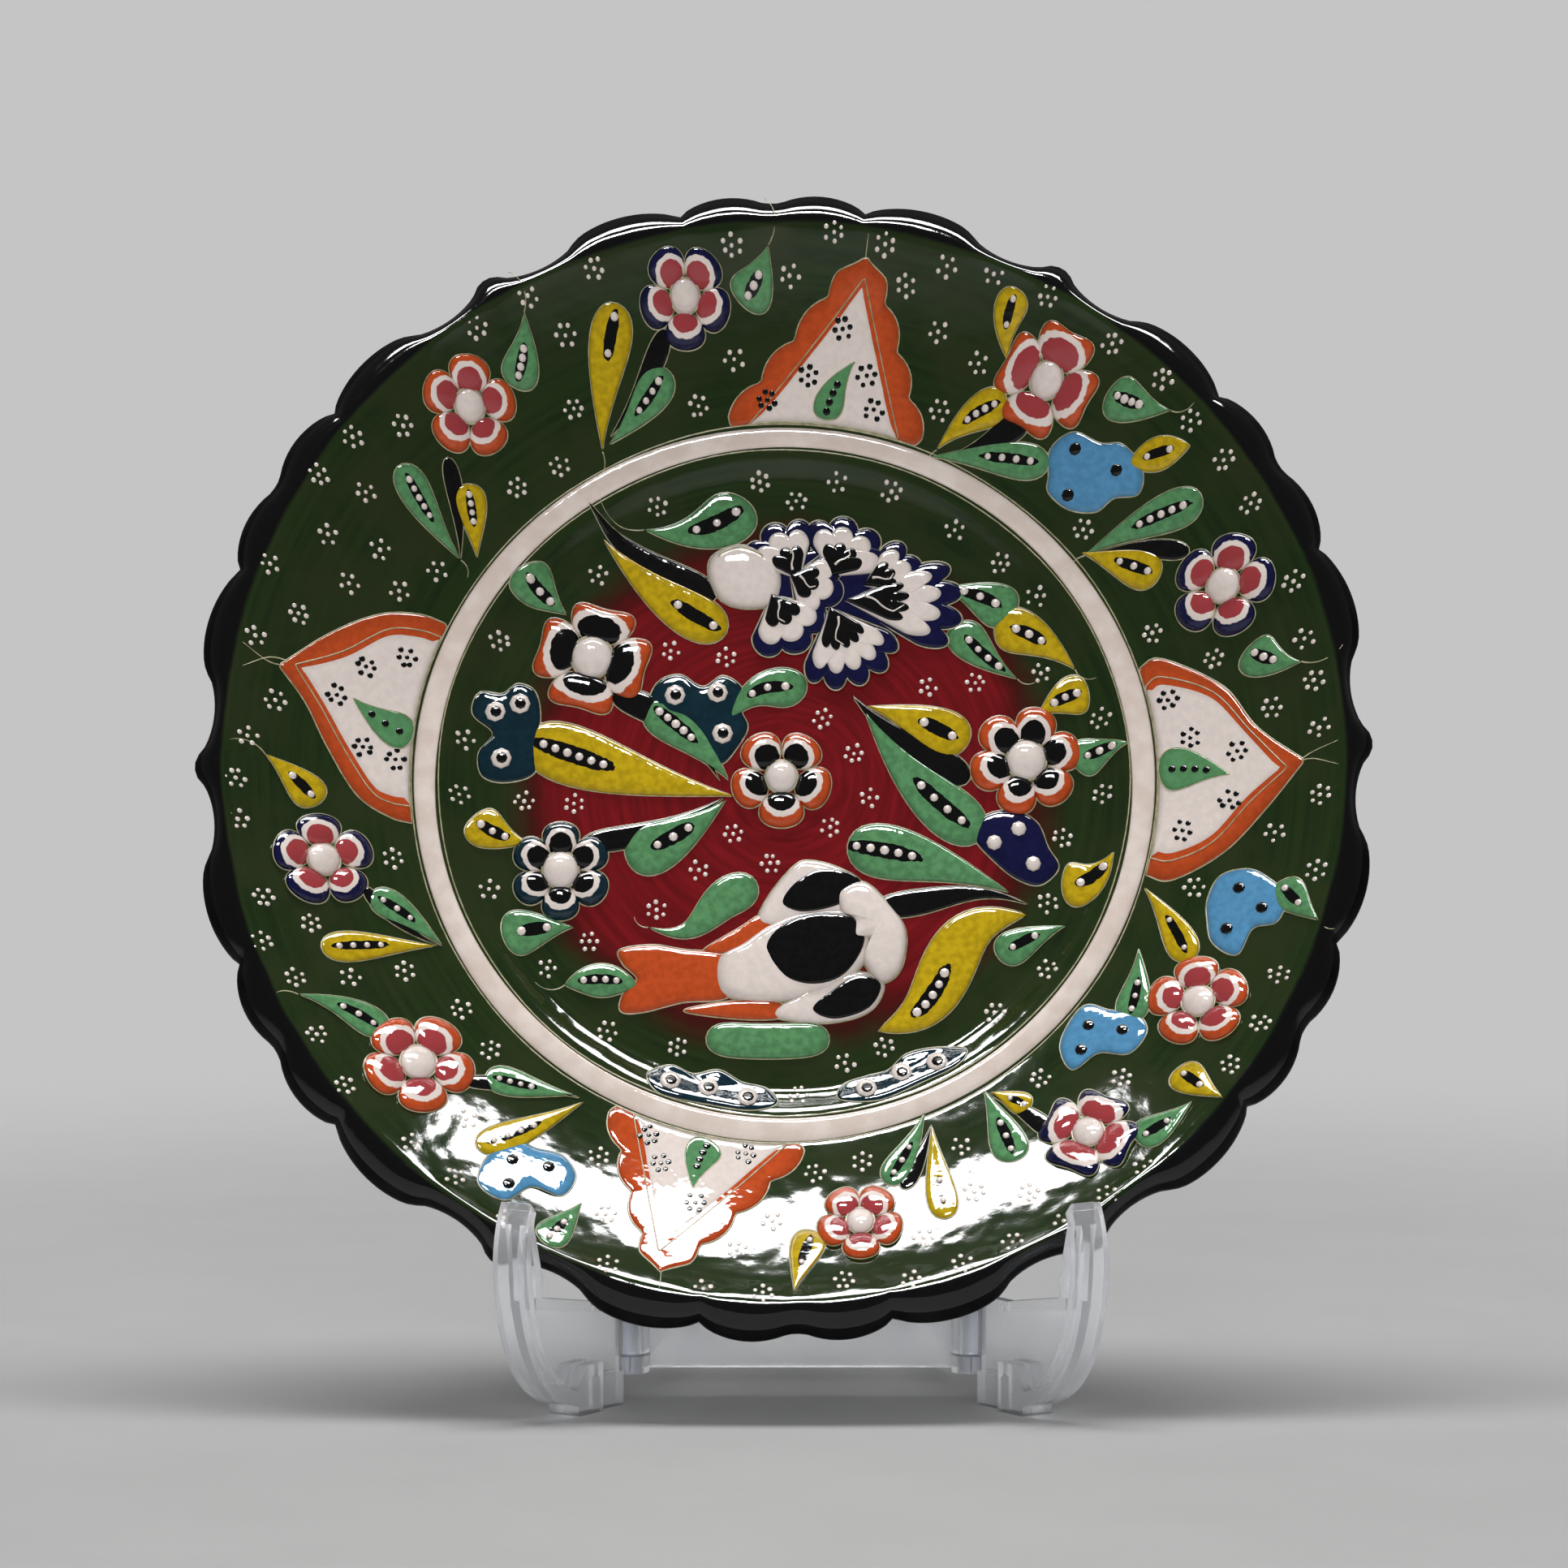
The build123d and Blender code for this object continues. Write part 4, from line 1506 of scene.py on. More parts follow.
def petal_shape(flower: Blossom, index: int) -> Star:
    """Shape of one petal.

    Args:
        flower: The flower that it belongs to.
        index: Which petal it is, counted round the flower.

    Returns:
        The petal's shape, with its axis pointing outwards.
    """
    turn = math.radians(flower.turn) + index * math.tau / flower.petals
    out = np.array([math.cos(turn), math.sin(turn)])
    side = np.array([-out[1], out[0]])
    sway = random.Random(f"{flower.place}{index}")
    length = flower.radius * 0.36 * sway.uniform(0.95, 1.05)
    plumpness = 0.98 * 0.62 if flower.wavy else 2.45 / flower.petals * 0.86
    breadth = flower.radius * plumpness * sway.uniform(0.94, 1.04)
    angles = np.linspace(0, math.tau, 72, endpoint=False)
    fat = 1 + 0.16 * np.cos(angles)
    along, across = np.cos(angles) * length, np.sin(angles) * breadth * fat
    if flower.wavy:
        along = along * (1.05 - 0.3 * np.exp(-((np.angle(np.exp(1j * angles)) / 0.5) ** 2)))
        across = across * (1.0 + 0.12 * np.cos(2 * angles))
    middle = np.array(flower.place) + out * flower.radius * 0.64
    line = middle + np.outer(along, out) + np.outer(across, side)
    return Star(spaced(line, 240, True), middle, tuple(out), length, breadth)


@dataclass
class BlossomBed:
    """The flowers of one CAD node."""

    node: str
    slot: str
    flowers: tuple[Blossom, ...]
    palette: Palette

    def build(self) -> bpy.types.Object:
        """Model the flowers.

        Returns:
            The petals' piece.
        """
        colours = sorted({flower.colouring for flower in self.flowers})
        materials = [self.palette.petals[colour] for colour in colours]
        sheet = ReliefSheet(f"{self.node}_petals", materials + [self.palette.line])
        for flower in self.flowers:
            round_it = [polar_from(flower.place, flower.radius * 1.02, turn) for turn in range(0, 360, 15)]
            OCCUPIED.append(np.array(round_it))
            paint = colours.index(flower.colouring)
            for index in range(flower.petals):
                shape = petal_shape(flower, index)
                sheet.pad(shape, 1.75, paint, domed=0.85)
                sheet.outline(shape, 0.14, len(materials), 0.05)
        return sheet.piece(self.slot, self.node)


def polar_from(place: Point, radius: float, degrees: float) -> Point:
    """Place at a distance and direction from another.

    Args:
        place: The place started from.
        radius: The distance.
        degrees: The direction, anticlockwise from the right.

    Returns:
        The place.
    """
    turn = math.radians(degrees)
    return (place[0] + radius * math.cos(turn), place[1] + radius * math.sin(turn))


RIM_ORANGE = (
    Blossom((-49, 57.5), 7.2, 5, 90, "orange_crimson"),
    Blossom((41, 62), 8.0, 4, 58, "orange_crimson", True),
    Blossom((-55.5, -47), 8.4, 5, 62, "orange_crimson"),
    Blossom((63, -37.5), 7.6, 5, 90, "orange_crimson"),
    Blossom((11.5, -71.5), 6.6, 5, 55, "orange_crimson"),
)
RIM_NAVY = (
    Blossom((-15.5, 75.3), 7.2, 5, 54, "navy_crimson"),
    Blossom((68, 28.6), 7.8, 5, 0, "navy_crimson"),
    Blossom((-70.5, -15), 7.6, 5, 100, "navy_crimson"),
    Blossom((46, -58), 7.4, 4, 62, "navy_crimson", True),
)
CENTRE_FLOWER = (Blossom((-0.4, 1.0), 8.0, 5, 54, "orange_black", False, 0.32),)
WELL_FLOWERS = (
    Blossom((-30, 20.4), 9.2, 4, 75, "orange_black", True, 0.36),
    Blossom((-34.6, -14), 8.0, 6, 30, "teal_black", False, 0.36),
    Blossom((37.7, 3.7), 8.8, 6, 15, "orange_black", False, 0.36),
)


@dataclass
class FlowerCentres:
    """The high white drops in the middle of the flowers."""

    palette: Palette

    def build(self) -> bpy.types.Object:
        """Model the drops.

        Returns:
            Their piece.
        """
        sheet = ReliefSheet("flower_centre_drops", [self.palette.plain[Paint.WHITE], self.palette.line])
        for flower in (*RIM_ORANGE, *RIM_NAVY, *CENTRE_FLOWER, *WELL_FLOWERS):
            size = flower.radius * flower.centre
            angles = np.linspace(0, math.tau, 40, endpoint=False)
            line = np.array(flower.place) + size * np.column_stack([np.cos(angles), np.sin(angles) * 1.05])
            shape = star(line)
            sheet.pad(shape, 2.5, 0, domed=0.8)
            sheet.outline(shape, 0.16, 1, 0.7)
        return sheet.piece("white_enamel", "flower_centres")


# ---- Foliage -------------------------------------------------------------------------------------


LENS, BAR = LeafKind.LENS, LeafKind.BAR

RIM_GREEN = (
    Leaf((-40.5, 71.5), (-42, 61), 5.6, 0.6, 4, 7), Leaf((-50.5, 35), (-59.5, 48), 5.0, 0.5, 5, -3),
    Leaf((-27.5, 54), (-18.5, 65.5), 5.6, -0.6, 4), Leaf((-2.5, 82.5), (-6.5, 74.5), 6.8, 0.5, 3, 8),
    Leaf((23, 52.5), (41.5, 50), 5.4, 0.6, 4), Leaf((47, 36), (65, 42), 6.0, 0.8, 5, 4),
    Leaf((60, 55.5), (50.5, 59.5), 6.2, 0.6, 4, 4), Leaf((79.5, 15), (71.5, 18.5), 6.4, 0.8, 3, 7),
    Leaf((-52.5, -27), (-63.5, -19.5), 4.8, -0.6, 3), Leaf((-73.5, -38), (-60.5, -42.5), 5.0, 1.2, 3, 5),
    Leaf((-32, -50.5), (-45.5, -48), 4.8, 0.3, 4), Leaf((-30.5, -69), (-36, -76.5), 5.2, 0.2, 3),
    Leaf((21.5, -53), (15.5, -65), 4.4, 0.5, 3), Leaf((30.5, -49.5), (35, -62), 5.6, 0.3, 3),
    Leaf((54.5, -27.5), (52.5, -39.5), 5.0, 0.6, 3), Leaf((81, -27), (75.5, -19.5), 5.2, 0.3, 2, 3),
    Leaf((61.5, -54.5), (53, -60), 5.2, 0.4, 2),
)
RIM_YELLOW = (
    Leaf((-48, 35.5), (-49.5, 46.5), 4.9, -0.2, 4),
    Leaf((-28.5, 53), (-26, 74), 6.4, 0.8, 2, -6, slit_middle=0.78, slit_length=0.34),
    Leaf((35, 65.5), (36.5, 75), 5.0, 1.0, 2, 3), Leaf((24, 53.5), (35, 60), 5.6, 1.0, 4, 4),
    Leaf((53.5, 48.5), (63, 50), 5.0, 0.4, 2, 4, LENS, slit_middle=0.5),
    Leaf((46.5, 36.5), (58.5, 31.5), 5.8, 0.3, 3),
    Leaf((-79.5, 0.5), (-71.5, -6), 5.6, 0.4, 2, 6), Leaf((-53.5, -27), (-70.5, -29.5), 5.0, -0.3, 4),
    Leaf((-30.5, -51.5), (-46.5, -60.5), 5.0, 0.4, 4), Leaf((1.5, -84), (4.5, -73), 5.2, 0.3, 2),
    Leaf((22.5, -55), (24.5, -71.5), 4.6, -0.2, 2, slit_middle=0.7, slit_length=0.3),
    Leaf((31.5, -50), (37.5, -53), 3.8, 0.2, 2),
    Leaf((55.5, -17.5), (62, -30.5), 4.8, 0.6, 2), Leaf((66, -54.5), (59.5, -48.5), 5.4, 0.3, 2),
)
RIM_BLACK = (
    Leaf((-50.5, 35), (-52.5, 50), 2.6, -0.5, 0), Leaf((-27.5, 55), (-18.5, 71), 3.2, -0.8, 0),
    Leaf((27, 53), (38, 57.5), 4.2, -0.8, 0), Leaf((48, 36), (63, 34.5), 3.0, 0.9, 0),
    Leaf((-53, -27), (-64.5, -18.5), 2.2, 1.0, 0), Leaf((-31, -51), (-49, -49.5), 2.4, -0.8, 0),
    Leaf((22.5, -55), (18, -66), 2.6, 0.4, 0), Leaf((31, -50), (41, -58), 3.0, 0.7, 0),
)
WELL_GREEN = (
    Leaf((-22, 41.5), (-5.5, 46), 8.6, -2.4, 3, -9, slit_middle=0.66, slit_length=0.55),
    Leaf((-34, 27.5), (-41, 34.5), 7.0, 0.5, 3, 0, slit_middle=0.55, slit_length=0.62),
    Leaf((-8.5, 0.5), (-21.5, 13), 6.8, -0.8, 5, slit_middle=0.68, slit_length=0.5),
    Leaf((-9, 9), (3.5, 15), 6.4, 3.2, 3, 4, slit_middle=0.62, slit_length=0.52),
    Leaf((-9, -2.6), (-24.5, -12), 8.2, 1.0, 3, slit_middle=0.56, slit_length=0.42),
    Leaf((-32.5, -23), (-43.5, -24.5), 7.2, -0.4, 2, slit_middle=0.55, slit_length=0.5),
    Leaf((-33.8, -32.2), (-22.5, -32.5), 5.4, 0.9, 4, -5, LENS, slit_middle=0.48, slit_length=0.62),
    Leaf((-21, -23), (-4, -16.5), 6.2, -1.6, 0, -3, snake=-1.4),
    Leaf((7, -40.5), (-12, -40.5), 5.6, 0.6, 0, 0, BAR),
    Leaf((35, -17.5), (9.8, -10), 8.6, -1.2, 5, slit_middle=0.78, slit_length=0.46),
    Leaf((12.5, 12), (31, -8.5), 8.2, -1.8, 4, slit_middle=0.7, slit_length=0.42),
    Leaf((53.5, 5.8), (45, 3.2), 6.0, -0.6, 3, slit_middle=0.5, slit_length=0.6),
    Leaf((25, 32), (36, 27.5), 7.2, 0.6, 3, 0, slit_middle=0.5, slit_length=0.62),
    Leaf((36.5, 17), (26.8, 26), 6.0, 0.8, 4, 3, slit_middle=0.5, slit_length=0.66),
    Leaf((43.5, -22.8), (33, -27.8), 5.4, -0.5, 2, slit_middle=0.6, slit_length=0.46),
)
WELL_YELLOW = (
    Leaf((-28.5, 40), (-9, 24.5), 7.4, -1.4, 2, slit_middle=0.78, slit_length=0.36),
    Leaf((-7.5, -2), (-40.5, 7.5), 9.6, 1.0, 6, slit_middle=0.76, slit_length=0.4),
    Leaf((-39.5, -9.5), (-48.5, -5.5), 6.4, 0.8, 3, slit_middle=0.6, slit_length=0.6),
    Leaf((37.5, -21), (14.5, -39.5), 8.4, -1.2, 5, 0, LENS, -2.4, slit_middle=0.66, slit_length=0.34),
    Leaf((12.8, 12.6), (28.5, 6.2), 7.4, 0.8, 2, slit_middle=0.7, slit_length=0.4),
    Leaf((39.5, 11), (47.5, 15), 6.4, 0.6, 3, 4, slit_middle=0.58, slit_length=0.6),
    Leaf((45.5, 18.5), (33, 26), 7.4, -1.2, 3, 4, slit_middle=0.62, slit_length=0.42),
    Leaf((51, -11.5), (43, -16.5), 7.2, 1.4, 2, slit_middle=0.5, slit_length=0.6),
)
WELL_BLACK = (
    Leaf((-31, 45.5), (-10.5, 30.5), 5.6, -2.2, 0), Leaf((-10, 0.5), (-27, 14.5), 4.4, -2.4, 0),
    Leaf((-9, -2), (-31.5, -9.5), 3.8, 1.6, 0), Leaf((38, -19.5), (14, -20), 4.2, -1.8, 0, 0, snake=-0.6),
    Leaf((10.5, 14.5), (29, 0.8), 5.4, -1.4, 0),
)


@dataclass
class Foliage:
    """Leaves or stems of one CAD node."""

    node: str
    slot: str
    leaves: tuple[Leaf, ...]
    material: bpy.types.Material
    height: float
    palette: Palette

    def build(self) -> bpy.types.Object:
        """Model the leaves, their outlines, tails and beads.

        Returns:
            Their piece.
        """
        materials = [self.material, self.palette.line, self.palette.plain[Paint.WHITE]]
        sheet = ReliefSheet(f"{self.node}_enamel", materials)
        for number, leaf in enumerate(self.leaves):
            OCCUPIED.append(leaf.edge(28))
            sheet.pad(leaf, self.height, 0, domed=0.45)
            sheet.outline(leaf, 0.12, 1, 0.05)
            if leaf.tail:
                sheet.strand(tail_line(leaf), 0.13, 1)
            if leaf.beads:
                drawing = random.Random(f"{self.node}{number}")
                for place in leaf.bead_places():
                    size = drawing.uniform(0.54, 0.66) * min(1.2, max(0.8, leaf.width / 6))
                    sheet.bead(place, size, 0.5, 2, lift=self.height * 0.95)
        return sheet.piece(self.slot, self.node)


def tail_line(leaf: Leaf) -> np.ndarray:
    """Curling tail that runs on from a leaf's tip.

    Args:
        leaf: The leaf.

    Returns:
        Places along the tail.
    """
    places, _ = leaf.spine(np.array([0.0, 0.06]))
    heading = math.atan2(places[0][1] - places[1][1], places[0][0] - places[1][0])
    bend = math.copysign(1.5, leaf.tail)
    length = abs(leaf.tail)
    line = [np.array(leaf.tip)]
    for step in range(20):
        turn = heading + bend * (step / 20 - 0.25)
        line.append(line[-1] + length / 20 * np.array([math.cos(turn), math.sin(turn)]))
    return np.array(line)


# ---- Clouds and fruit ----------------------------------------------------------------------------


@dataclass(frozen=True)
class Cloud:
    """A lobed patch with round eyes."""

    edge: tuple[Point, ...]
    eyes: tuple[Point, ...]


class Eye(Enum):
    """How a cloud's eyes are made."""

    BLACK = "black"
    RING = "ring"
    WHITE = "white"


RIM_CLOUDS = (
    Cloud(((41.4, 48.5), (41.7, 52.4), (45.2, 54.5), (49.4, 52.4), (52.8, 51.8), (55.8, 48), (55.3, 44.3),
           (51.5, 44.1), (48.7, 42.4), (44.5, 43.2), (41.4, 46)), ((45.5, 51.8), (44.4, 45.2), (51.8, 48))),
    Cloud(((-44.5, -61.5), (-40.5, -59), (-37.5, -60), (-33.5, -61), (-31.5, -64.5), (-33.5, -68),
           (-38, -66.8), (-42, -69.5), (-46, -66.8)), ((-41, -62.4), (-35.6, -63.2), (-41.4, -66.6))),
    Cloud(((44, -38.5), (46.5, -36.2), (50, -37.4), (53.6, -38), (55.4, -41.4), (52.6, -45), (48, -44.5),
           (44, -47), (42.2, -43)), ((46.6, -39.8), (51.6, -41), (45.4, -43.8))),
    Cloud(((65, -20.5), (67, -17), (71, -16.5), (74, -18.5), (76.5, -22), (75, -26), (71.5, -26.5),
           (69, -30.5), (65.5, -28), (64.8, -24)), ((69.6, -19.6), (72.8, -23.4), (67.6, -26))),
)
WELL_CLOUDS = (
    Cloud(((-48.6, 11.3), (-47.4, 14.8), (-43.9, 14.7), (-41.6, 16.3), (-39, 15.2), (-38, 11.9),
           (-38.2, 7.5), (-38.8, 1.8), (-43.4, 0.2), (-47, 1.3), (-47.6, 5), (-45.4, 8.2)), ((-45, 11.5),
           (-41.2, 12.8), (-44, 4))),
    Cloud(((-21, 11.9), (-20, 16.2), (-16.4, 17.8), (-12.7, 15.8), (-9.5, 17.6), (-6.4, 15.4), (-6.6, 11.9),
           (-5.6, 9.2), (-7.1, 6.1), (-9.9, 3.2), (-12.6, 6.9), (-16.6, 10.2)), ((-17, 14.2), (-10.4, 14.6),
           (-9.6, 8))),
    Cloud(((-21, -46.5), (-17.5, -44.8), (-14, -46.2), (-10, -45.6), (-6.5, -47.5), (-2.5, -48.6),
           (-1, -51.2), (-5, -52.6), (-12, -51.6), (-19, -50)), ((-17.4, -47.6), (-11.6, -48.6),
           (-5.6, -50.2))),
    Cloud(((8.5, -50.6), (9, -48), (12.5, -46.6), (16, -45.6), (19, -43), (24, -42), (28, -42.6),
           (26.6, -45.4), (21, -48.2), (14.5, -51)), ((12.6, -48.8), (18, -46.2), (23.4, -44.6))),
)
NAVY_CLOUD = (
    Cloud(((29.5, -8.6), (31, -5.2), (35.5, -4.2), (39.3, -6.2), (41, -10.2), (42.6, -13.5), (39.7, -16.3),
           (36, -15.3), (32.4, -12.3)), ((36.4, -7.4), (32.6, -9.6), (38.6, -13))),
)


@dataclass
class CloudBank:
    """The clouds of one CAD node."""

    node: str
    slot: str
    clouds: tuple[Cloud, ...]
    paint: Paint
    eye: Eye
    palette: Palette

    def build(self) -> bpy.types.Object:
        """Model the clouds and their eyes.

        Returns:
            Their piece.
        """
        plain = self.palette.plain
        paints = [plain[self.paint], self.palette.line, plain[Paint.WHITE], plain[Paint.BLACK]]
        sheet = ReliefSheet(f"{self.node}_enamel", paints)
        for cloud in self.clouds:
            shape = star(list(cloud.edge))
            OCCUPIED.append(shape.line[::8])
            sheet.pad(shape, 0.95, 0, fine=True, domed=0.75)
            sheet.outline(shape, 0.14, 1, 0.05, fine=True)
            for place in cloud.eyes:
                if self.eye is Eye.BLACK:
                    sheet.bead(place, 1.0, 0.45, 3, lift=0.74)
                elif self.eye is Eye.RING:
                    sheet.bead(place, 1.7, 0.8, 2, lift=0.74)
                    sheet.bead((place[0] + 0.1, place[1] - 0.1), 0.95, 0.42, 3, lift=1.36)
                else:
                    sheet.bead(place, 1.25, 1.0, 2, lift=0.74)
        return sheet.piece(self.slot, self.node)


# ---- Carnation and tulip -------------------------------------------------------------------------


@dataclass
class Carnation:
    """The large pinked flower: navy scalloped fans with white bands and black hearts."""

    palette: Palette
    fullness: float = 1.1

    def fan(self, root: Point, heading: float, radius: float, spread: float, lobes: int,
            share: float) -> Star:
        """Shape of one pinked fan petal.

        Args:
            root: Where the fan is gathered.
            heading: Direction it opens in, in degrees.
            radius: Length of the fan.
            spread: Half of its opening, in degrees.
            lobes: Number of scallops.
            share: Part of the full radius.

        Returns:
            The fan's shape.
        """
        shares = np.linspace(-1, 1, 120)
        scallop = 1 - 0.17 * (1 - np.abs(np.sin((shares + 1) / 2 * math.pi * lobes)) ** 0.6)
        round_off = (1 - 0.16 * np.abs(shares) ** 3)
        turns = np.radians(heading + shares * spread * (0.55 + 0.45 * share))
        reach = radius * share * scallop * round_off
        line = [root]
        for far, turn in zip(reach, turns):
            line.append((root[0] + far * math.cos(turn), root[1] + far * math.sin(turn)))
        middle = polar_from(root, radius * share * 0.55, heading)
        return star(line, smooth=False, middle=middle)

    def build(self) -> bpy.types.Object:
        """Model the carnation.

        Returns:
            Its piece.
        """
        plain = self.palette.plain
        paints = [plain[Paint.NAVY], plain[Paint.WHITE], plain[Paint.BLACK], self.palette.line]
        sheet = ReliefSheet("carnation_enamel", paints)
        fans = (
            ((2.5, 33.0), 118, 9.6, 46, 3, 0.0), ((7.5, 33.5), 62, 9.4, 62, 4, 0.1),
            ((12.5, 32.0), 24, 9.0, 42, 3, 0.2), ((9.5, 29.5), -2, 17.0, 30, 4, 0.25),
            ((1.0, 33.5), -22, 8.0, 60, 3, 0.35), ((-2.0, 30.5), -62, 9.6, 52, 3, 0.45),
            ((7.2, 28.4), -68, 12.4, 46, 5, 0.6),
        )
        bed = star([(-2, 35), (5, 38.5), (13, 37.5), (20, 32), (19, 25), (12, 22.5), (5, 24), (-1, 27)])
        sheet.pad(bed, 0.7, 0, fine=True)
        for root, heading, radius, spread, lobes, lift in fans:
            radius *= self.fullness
            for share, paint, rise in ((1.0, 0, 0.0), (0.82, 1, 0.78), (0.55, 2, 1.2)):
                shape = self.fan(root, heading, radius, spread, lobes, share)
                sheet.pad(shape, 1.1 if paint == 0 else 0.7, paint, lift=lift + rise, fine=True, domed=0.3)
                if paint == 0:
                    OCCUPIED.append(shape.line[::8])
                    sheet.outline(shape, 0.14, 3, lift + 0.3, fine=True)
            vein = [polar_from(root, radius * 0.5 * step / 6, heading + 14 * math.sin(step))
                    for step in range(2, 7)]
            sheet.strand(np.array(vein), 0.24, 1, lift + 1.86)
        cup = star([(-11.4, 37.0), (-7.2, 39.0), (-3.2, 37.6), (-0.4, 34), (-1.4, 29.4), (-5.6, 28.4),
                    (-9.7, 29.6), (-11.8, 33.4)])
        OCCUPIED.append(cup.line[::8])
        sheet.pad(cup, 2.1, 1, lift=0.1, domed=0.8)
        sheet.outline(cup, 0.15, 3, 0.2)
        mouth = star([(-10.2, 36.8), (-7, 38.2), (-3.4, 36.8), (-6.8, 35.4)])
        sheet.outline(mouth, 0.15, 3, 1.42)
        return sheet.piece("navy_enamel", "carnation")


@dataclass
class Tulip:
    """The large tulip: white and black petals with orange tails and a white lobed calyx."""

    palette: Palette

    def build(self) -> bpy.types.Object:
        """Model the tulip.

        Returns:
            Its piece.
        """
        plain = self.palette.plain
        paints = [plain[Paint.ORANGE], plain[Paint.WHITE], plain[Paint.BLACK], self.palette.line]
        sheet = ReliefSheet("tulip_enamel", paints)
        upper_tail = star([(-12.4, -26.6), (-7.1, -23.2), (-3.4, -21), (-1.4, -22.6), (-5.8, -25.8),
                           (-9.6, -27.2)])
        lower_tail = star([(-15.5, -36.3), (-8, -34.7), (-0.6, -35), (-0.6, -37.4), (-7.0, -37.6)])
        tail = star([(-25.4, -26.6), (-20.4, -25.8), (-15.7, -26.5), (-8.4, -27.8), (-8.4, -34),
                     (-15.6, -35), (-21.9, -36.6), (-25.2, -36.4), (-24.9, -33.7), (-22.7, -31.3),
                     (-24.9, -28.9)])
        upper = star([(-4.2, -22.2), (-2.4, -18), (1.4, -13.3), (4, -12.3), (8.6, -13.5), (12.2, -16.2),
                      (9.6, -20.4), (3.1, -21.6), (-1.6, -22.8)])
        lower = star([(-1.8, -37.1), (1.6, -34.1), (6.3, -31.6), (11, -30), (15.4, -31.8), (13.2, -36.4),
                      (6.2, -38.3)])
        centre = star([(-10.2, -28.2), (-6.3, -25.6), (-2.4, -22.8), (3.1, -20.6), (10.2, -20.4),
                       (13.2, -24), (12.8, -28.1), (8.8, -32), (1.6, -34.5), (-4.7, -34.9), (-9.8, -33.3)])
        upper_black = star([(-0.2, -19.4), (1.4, -16.4), (5.2, -13.9), (9.4, -14.2), (12.0, -16.2),
                            (8.8, -19.4), (3.1, -20.7)])
        lower_black = star([(4.4, -36.2), (7, -33.5), (11.4, -30.8), (14.9, -32.2), (13, -36),
                            (7.8, -37.7)])
        oval = star([(-2.8, -26.4), (0.6, -22.3), (6.3, -20.9), (11, -21.9), (12.4, -25.6), (9.4, -30.6),
                     (4.7, -32.3), (-0.2, -31)])
        calyx = star([(8.4, -17.2), (12.4, -15.8), (16.4, -19.6), (18.9, -24), (18, -29.9), (14.9, -31.9),
                      (12.2, -28.3), (13.4, -25), (10.4, -25), (10.6, -21.8), (8.8, -20.6)],
                     middle=(14.6, -22.6))
        for shape, height, paint, lift in (
            (upper_tail, 0.7, 0, 0.0), (lower_tail, 0.7, 0, 0.0), (tail, 0.75, 0, 0.0),
            (upper, 1.0, 1, 0.0), (lower, 1.0, 1, 0.0), (centre, 1.5, 1, 0.1),
            (upper_black, 0.5, 2, 0.86), (lower_black, 0.5, 2, 0.86), (oval, 0.6, 2, 1.3),
            (calyx, 2.0, 1, 0.2),
        ):
            sheet.pad(shape, height, paint, lift, fine=True, domed=0.45)
            if lift < 0.5:
                OCCUPIED.append(shape.line[::8])
                sheet.outline(shape, 0.15, 3, 0.1 + lift, fine=True)
        return sheet.piece("white_enamel", "tulip")


# ---- Dot flowers ---------------------------------------------------------------------------------


def covered(place: np.ndarray, margin: float) -> bool:
    """Whether a place lies on or too near a painted shape.

    Args:
        place: Place on the plate.
        margin: Least distance to a shape's edge.

    Returns:
        True where a dot flower would clash.
    """
    for line in OCCUPIED:
        away = line - place
        if np.min(np.hypot(away[:, 0], away[:, 1])) < margin:
            return True
        turns = np.unwrap(np.arctan2(away[:, 1], away[:, 0]))
        closing = np.angle(np.exp(1j * (turns[0] - turns[-1])))
        if abs(turns[-1] + closing - turns[0]) > math.pi:
            return True
    return False


@dataclass
class DotFlowers:
    """Little white flowers of five or six dots, scattered between the painted shapes."""

    palette: Palette
    spacing: float = 7.4
    tries: int = 9000

    def places(self, low: float, high: float, seed: int) -> list[np.ndarray]:
        """Scatter places between two radii.

        Args:
            low: Smallest radius.
            high: Largest radius.
            seed: Start of the random draw.

        Returns:
            The places.
        """
        drawing = random.Random(seed)
        kept: list[np.ndarray] = []
        for attempt in range(self.tries):
            spacing = self.spacing if attempt < self.tries * 0.7 else self.spacing * 0.86
            radius = math.sqrt(drawing.uniform(low**2, high**2))
            place = np.array(polar(radius, drawing.uniform(0, 360)))
            if kept and min(math.hypot(*(place - other)) for other in kept) < spacing:
                continue
            if not covered(place, 2.5):
                kept.append(place)
        return kept

    def build(self) -> list[bpy.types.Object]:
        """Model the dot flowers of the well and of the flange.

        Returns:
            Their two pieces.
        """
        made = []
        for name, low, high, seed in (
            ("well_dot_flowers", 3.0, 50.5, 4), ("rim_dot_flowers", 61.5, 84.6, 9),
        ):
            sheet = ReliefSheet(name, [self.palette.plain[Paint.WHITE]])
            drawing = random.Random(seed + 1)
            for middle in self.places(low, high, seed):
                dots = drawing.choice((5, 6, 6))
                start = drawing.uniform(0, 360)
                for dot in range(dots):
                    away = drawing.uniform(1.15, 1.5)
                    turn = start + dot * 360 / dots + drawing.uniform(-9, 9)
                    place = polar_from(tuple(middle), away, turn)
                    sheet.bead(place, drawing.uniform(0.31, 0.41), 0.22)
                sheet.bead(tuple(middle), drawing.uniform(0.3, 0.38), 0.22)
            made.append(sheet.piece("white_enamel"))
        return made


# ---- The stand -----------------------------------------------------------------------------------


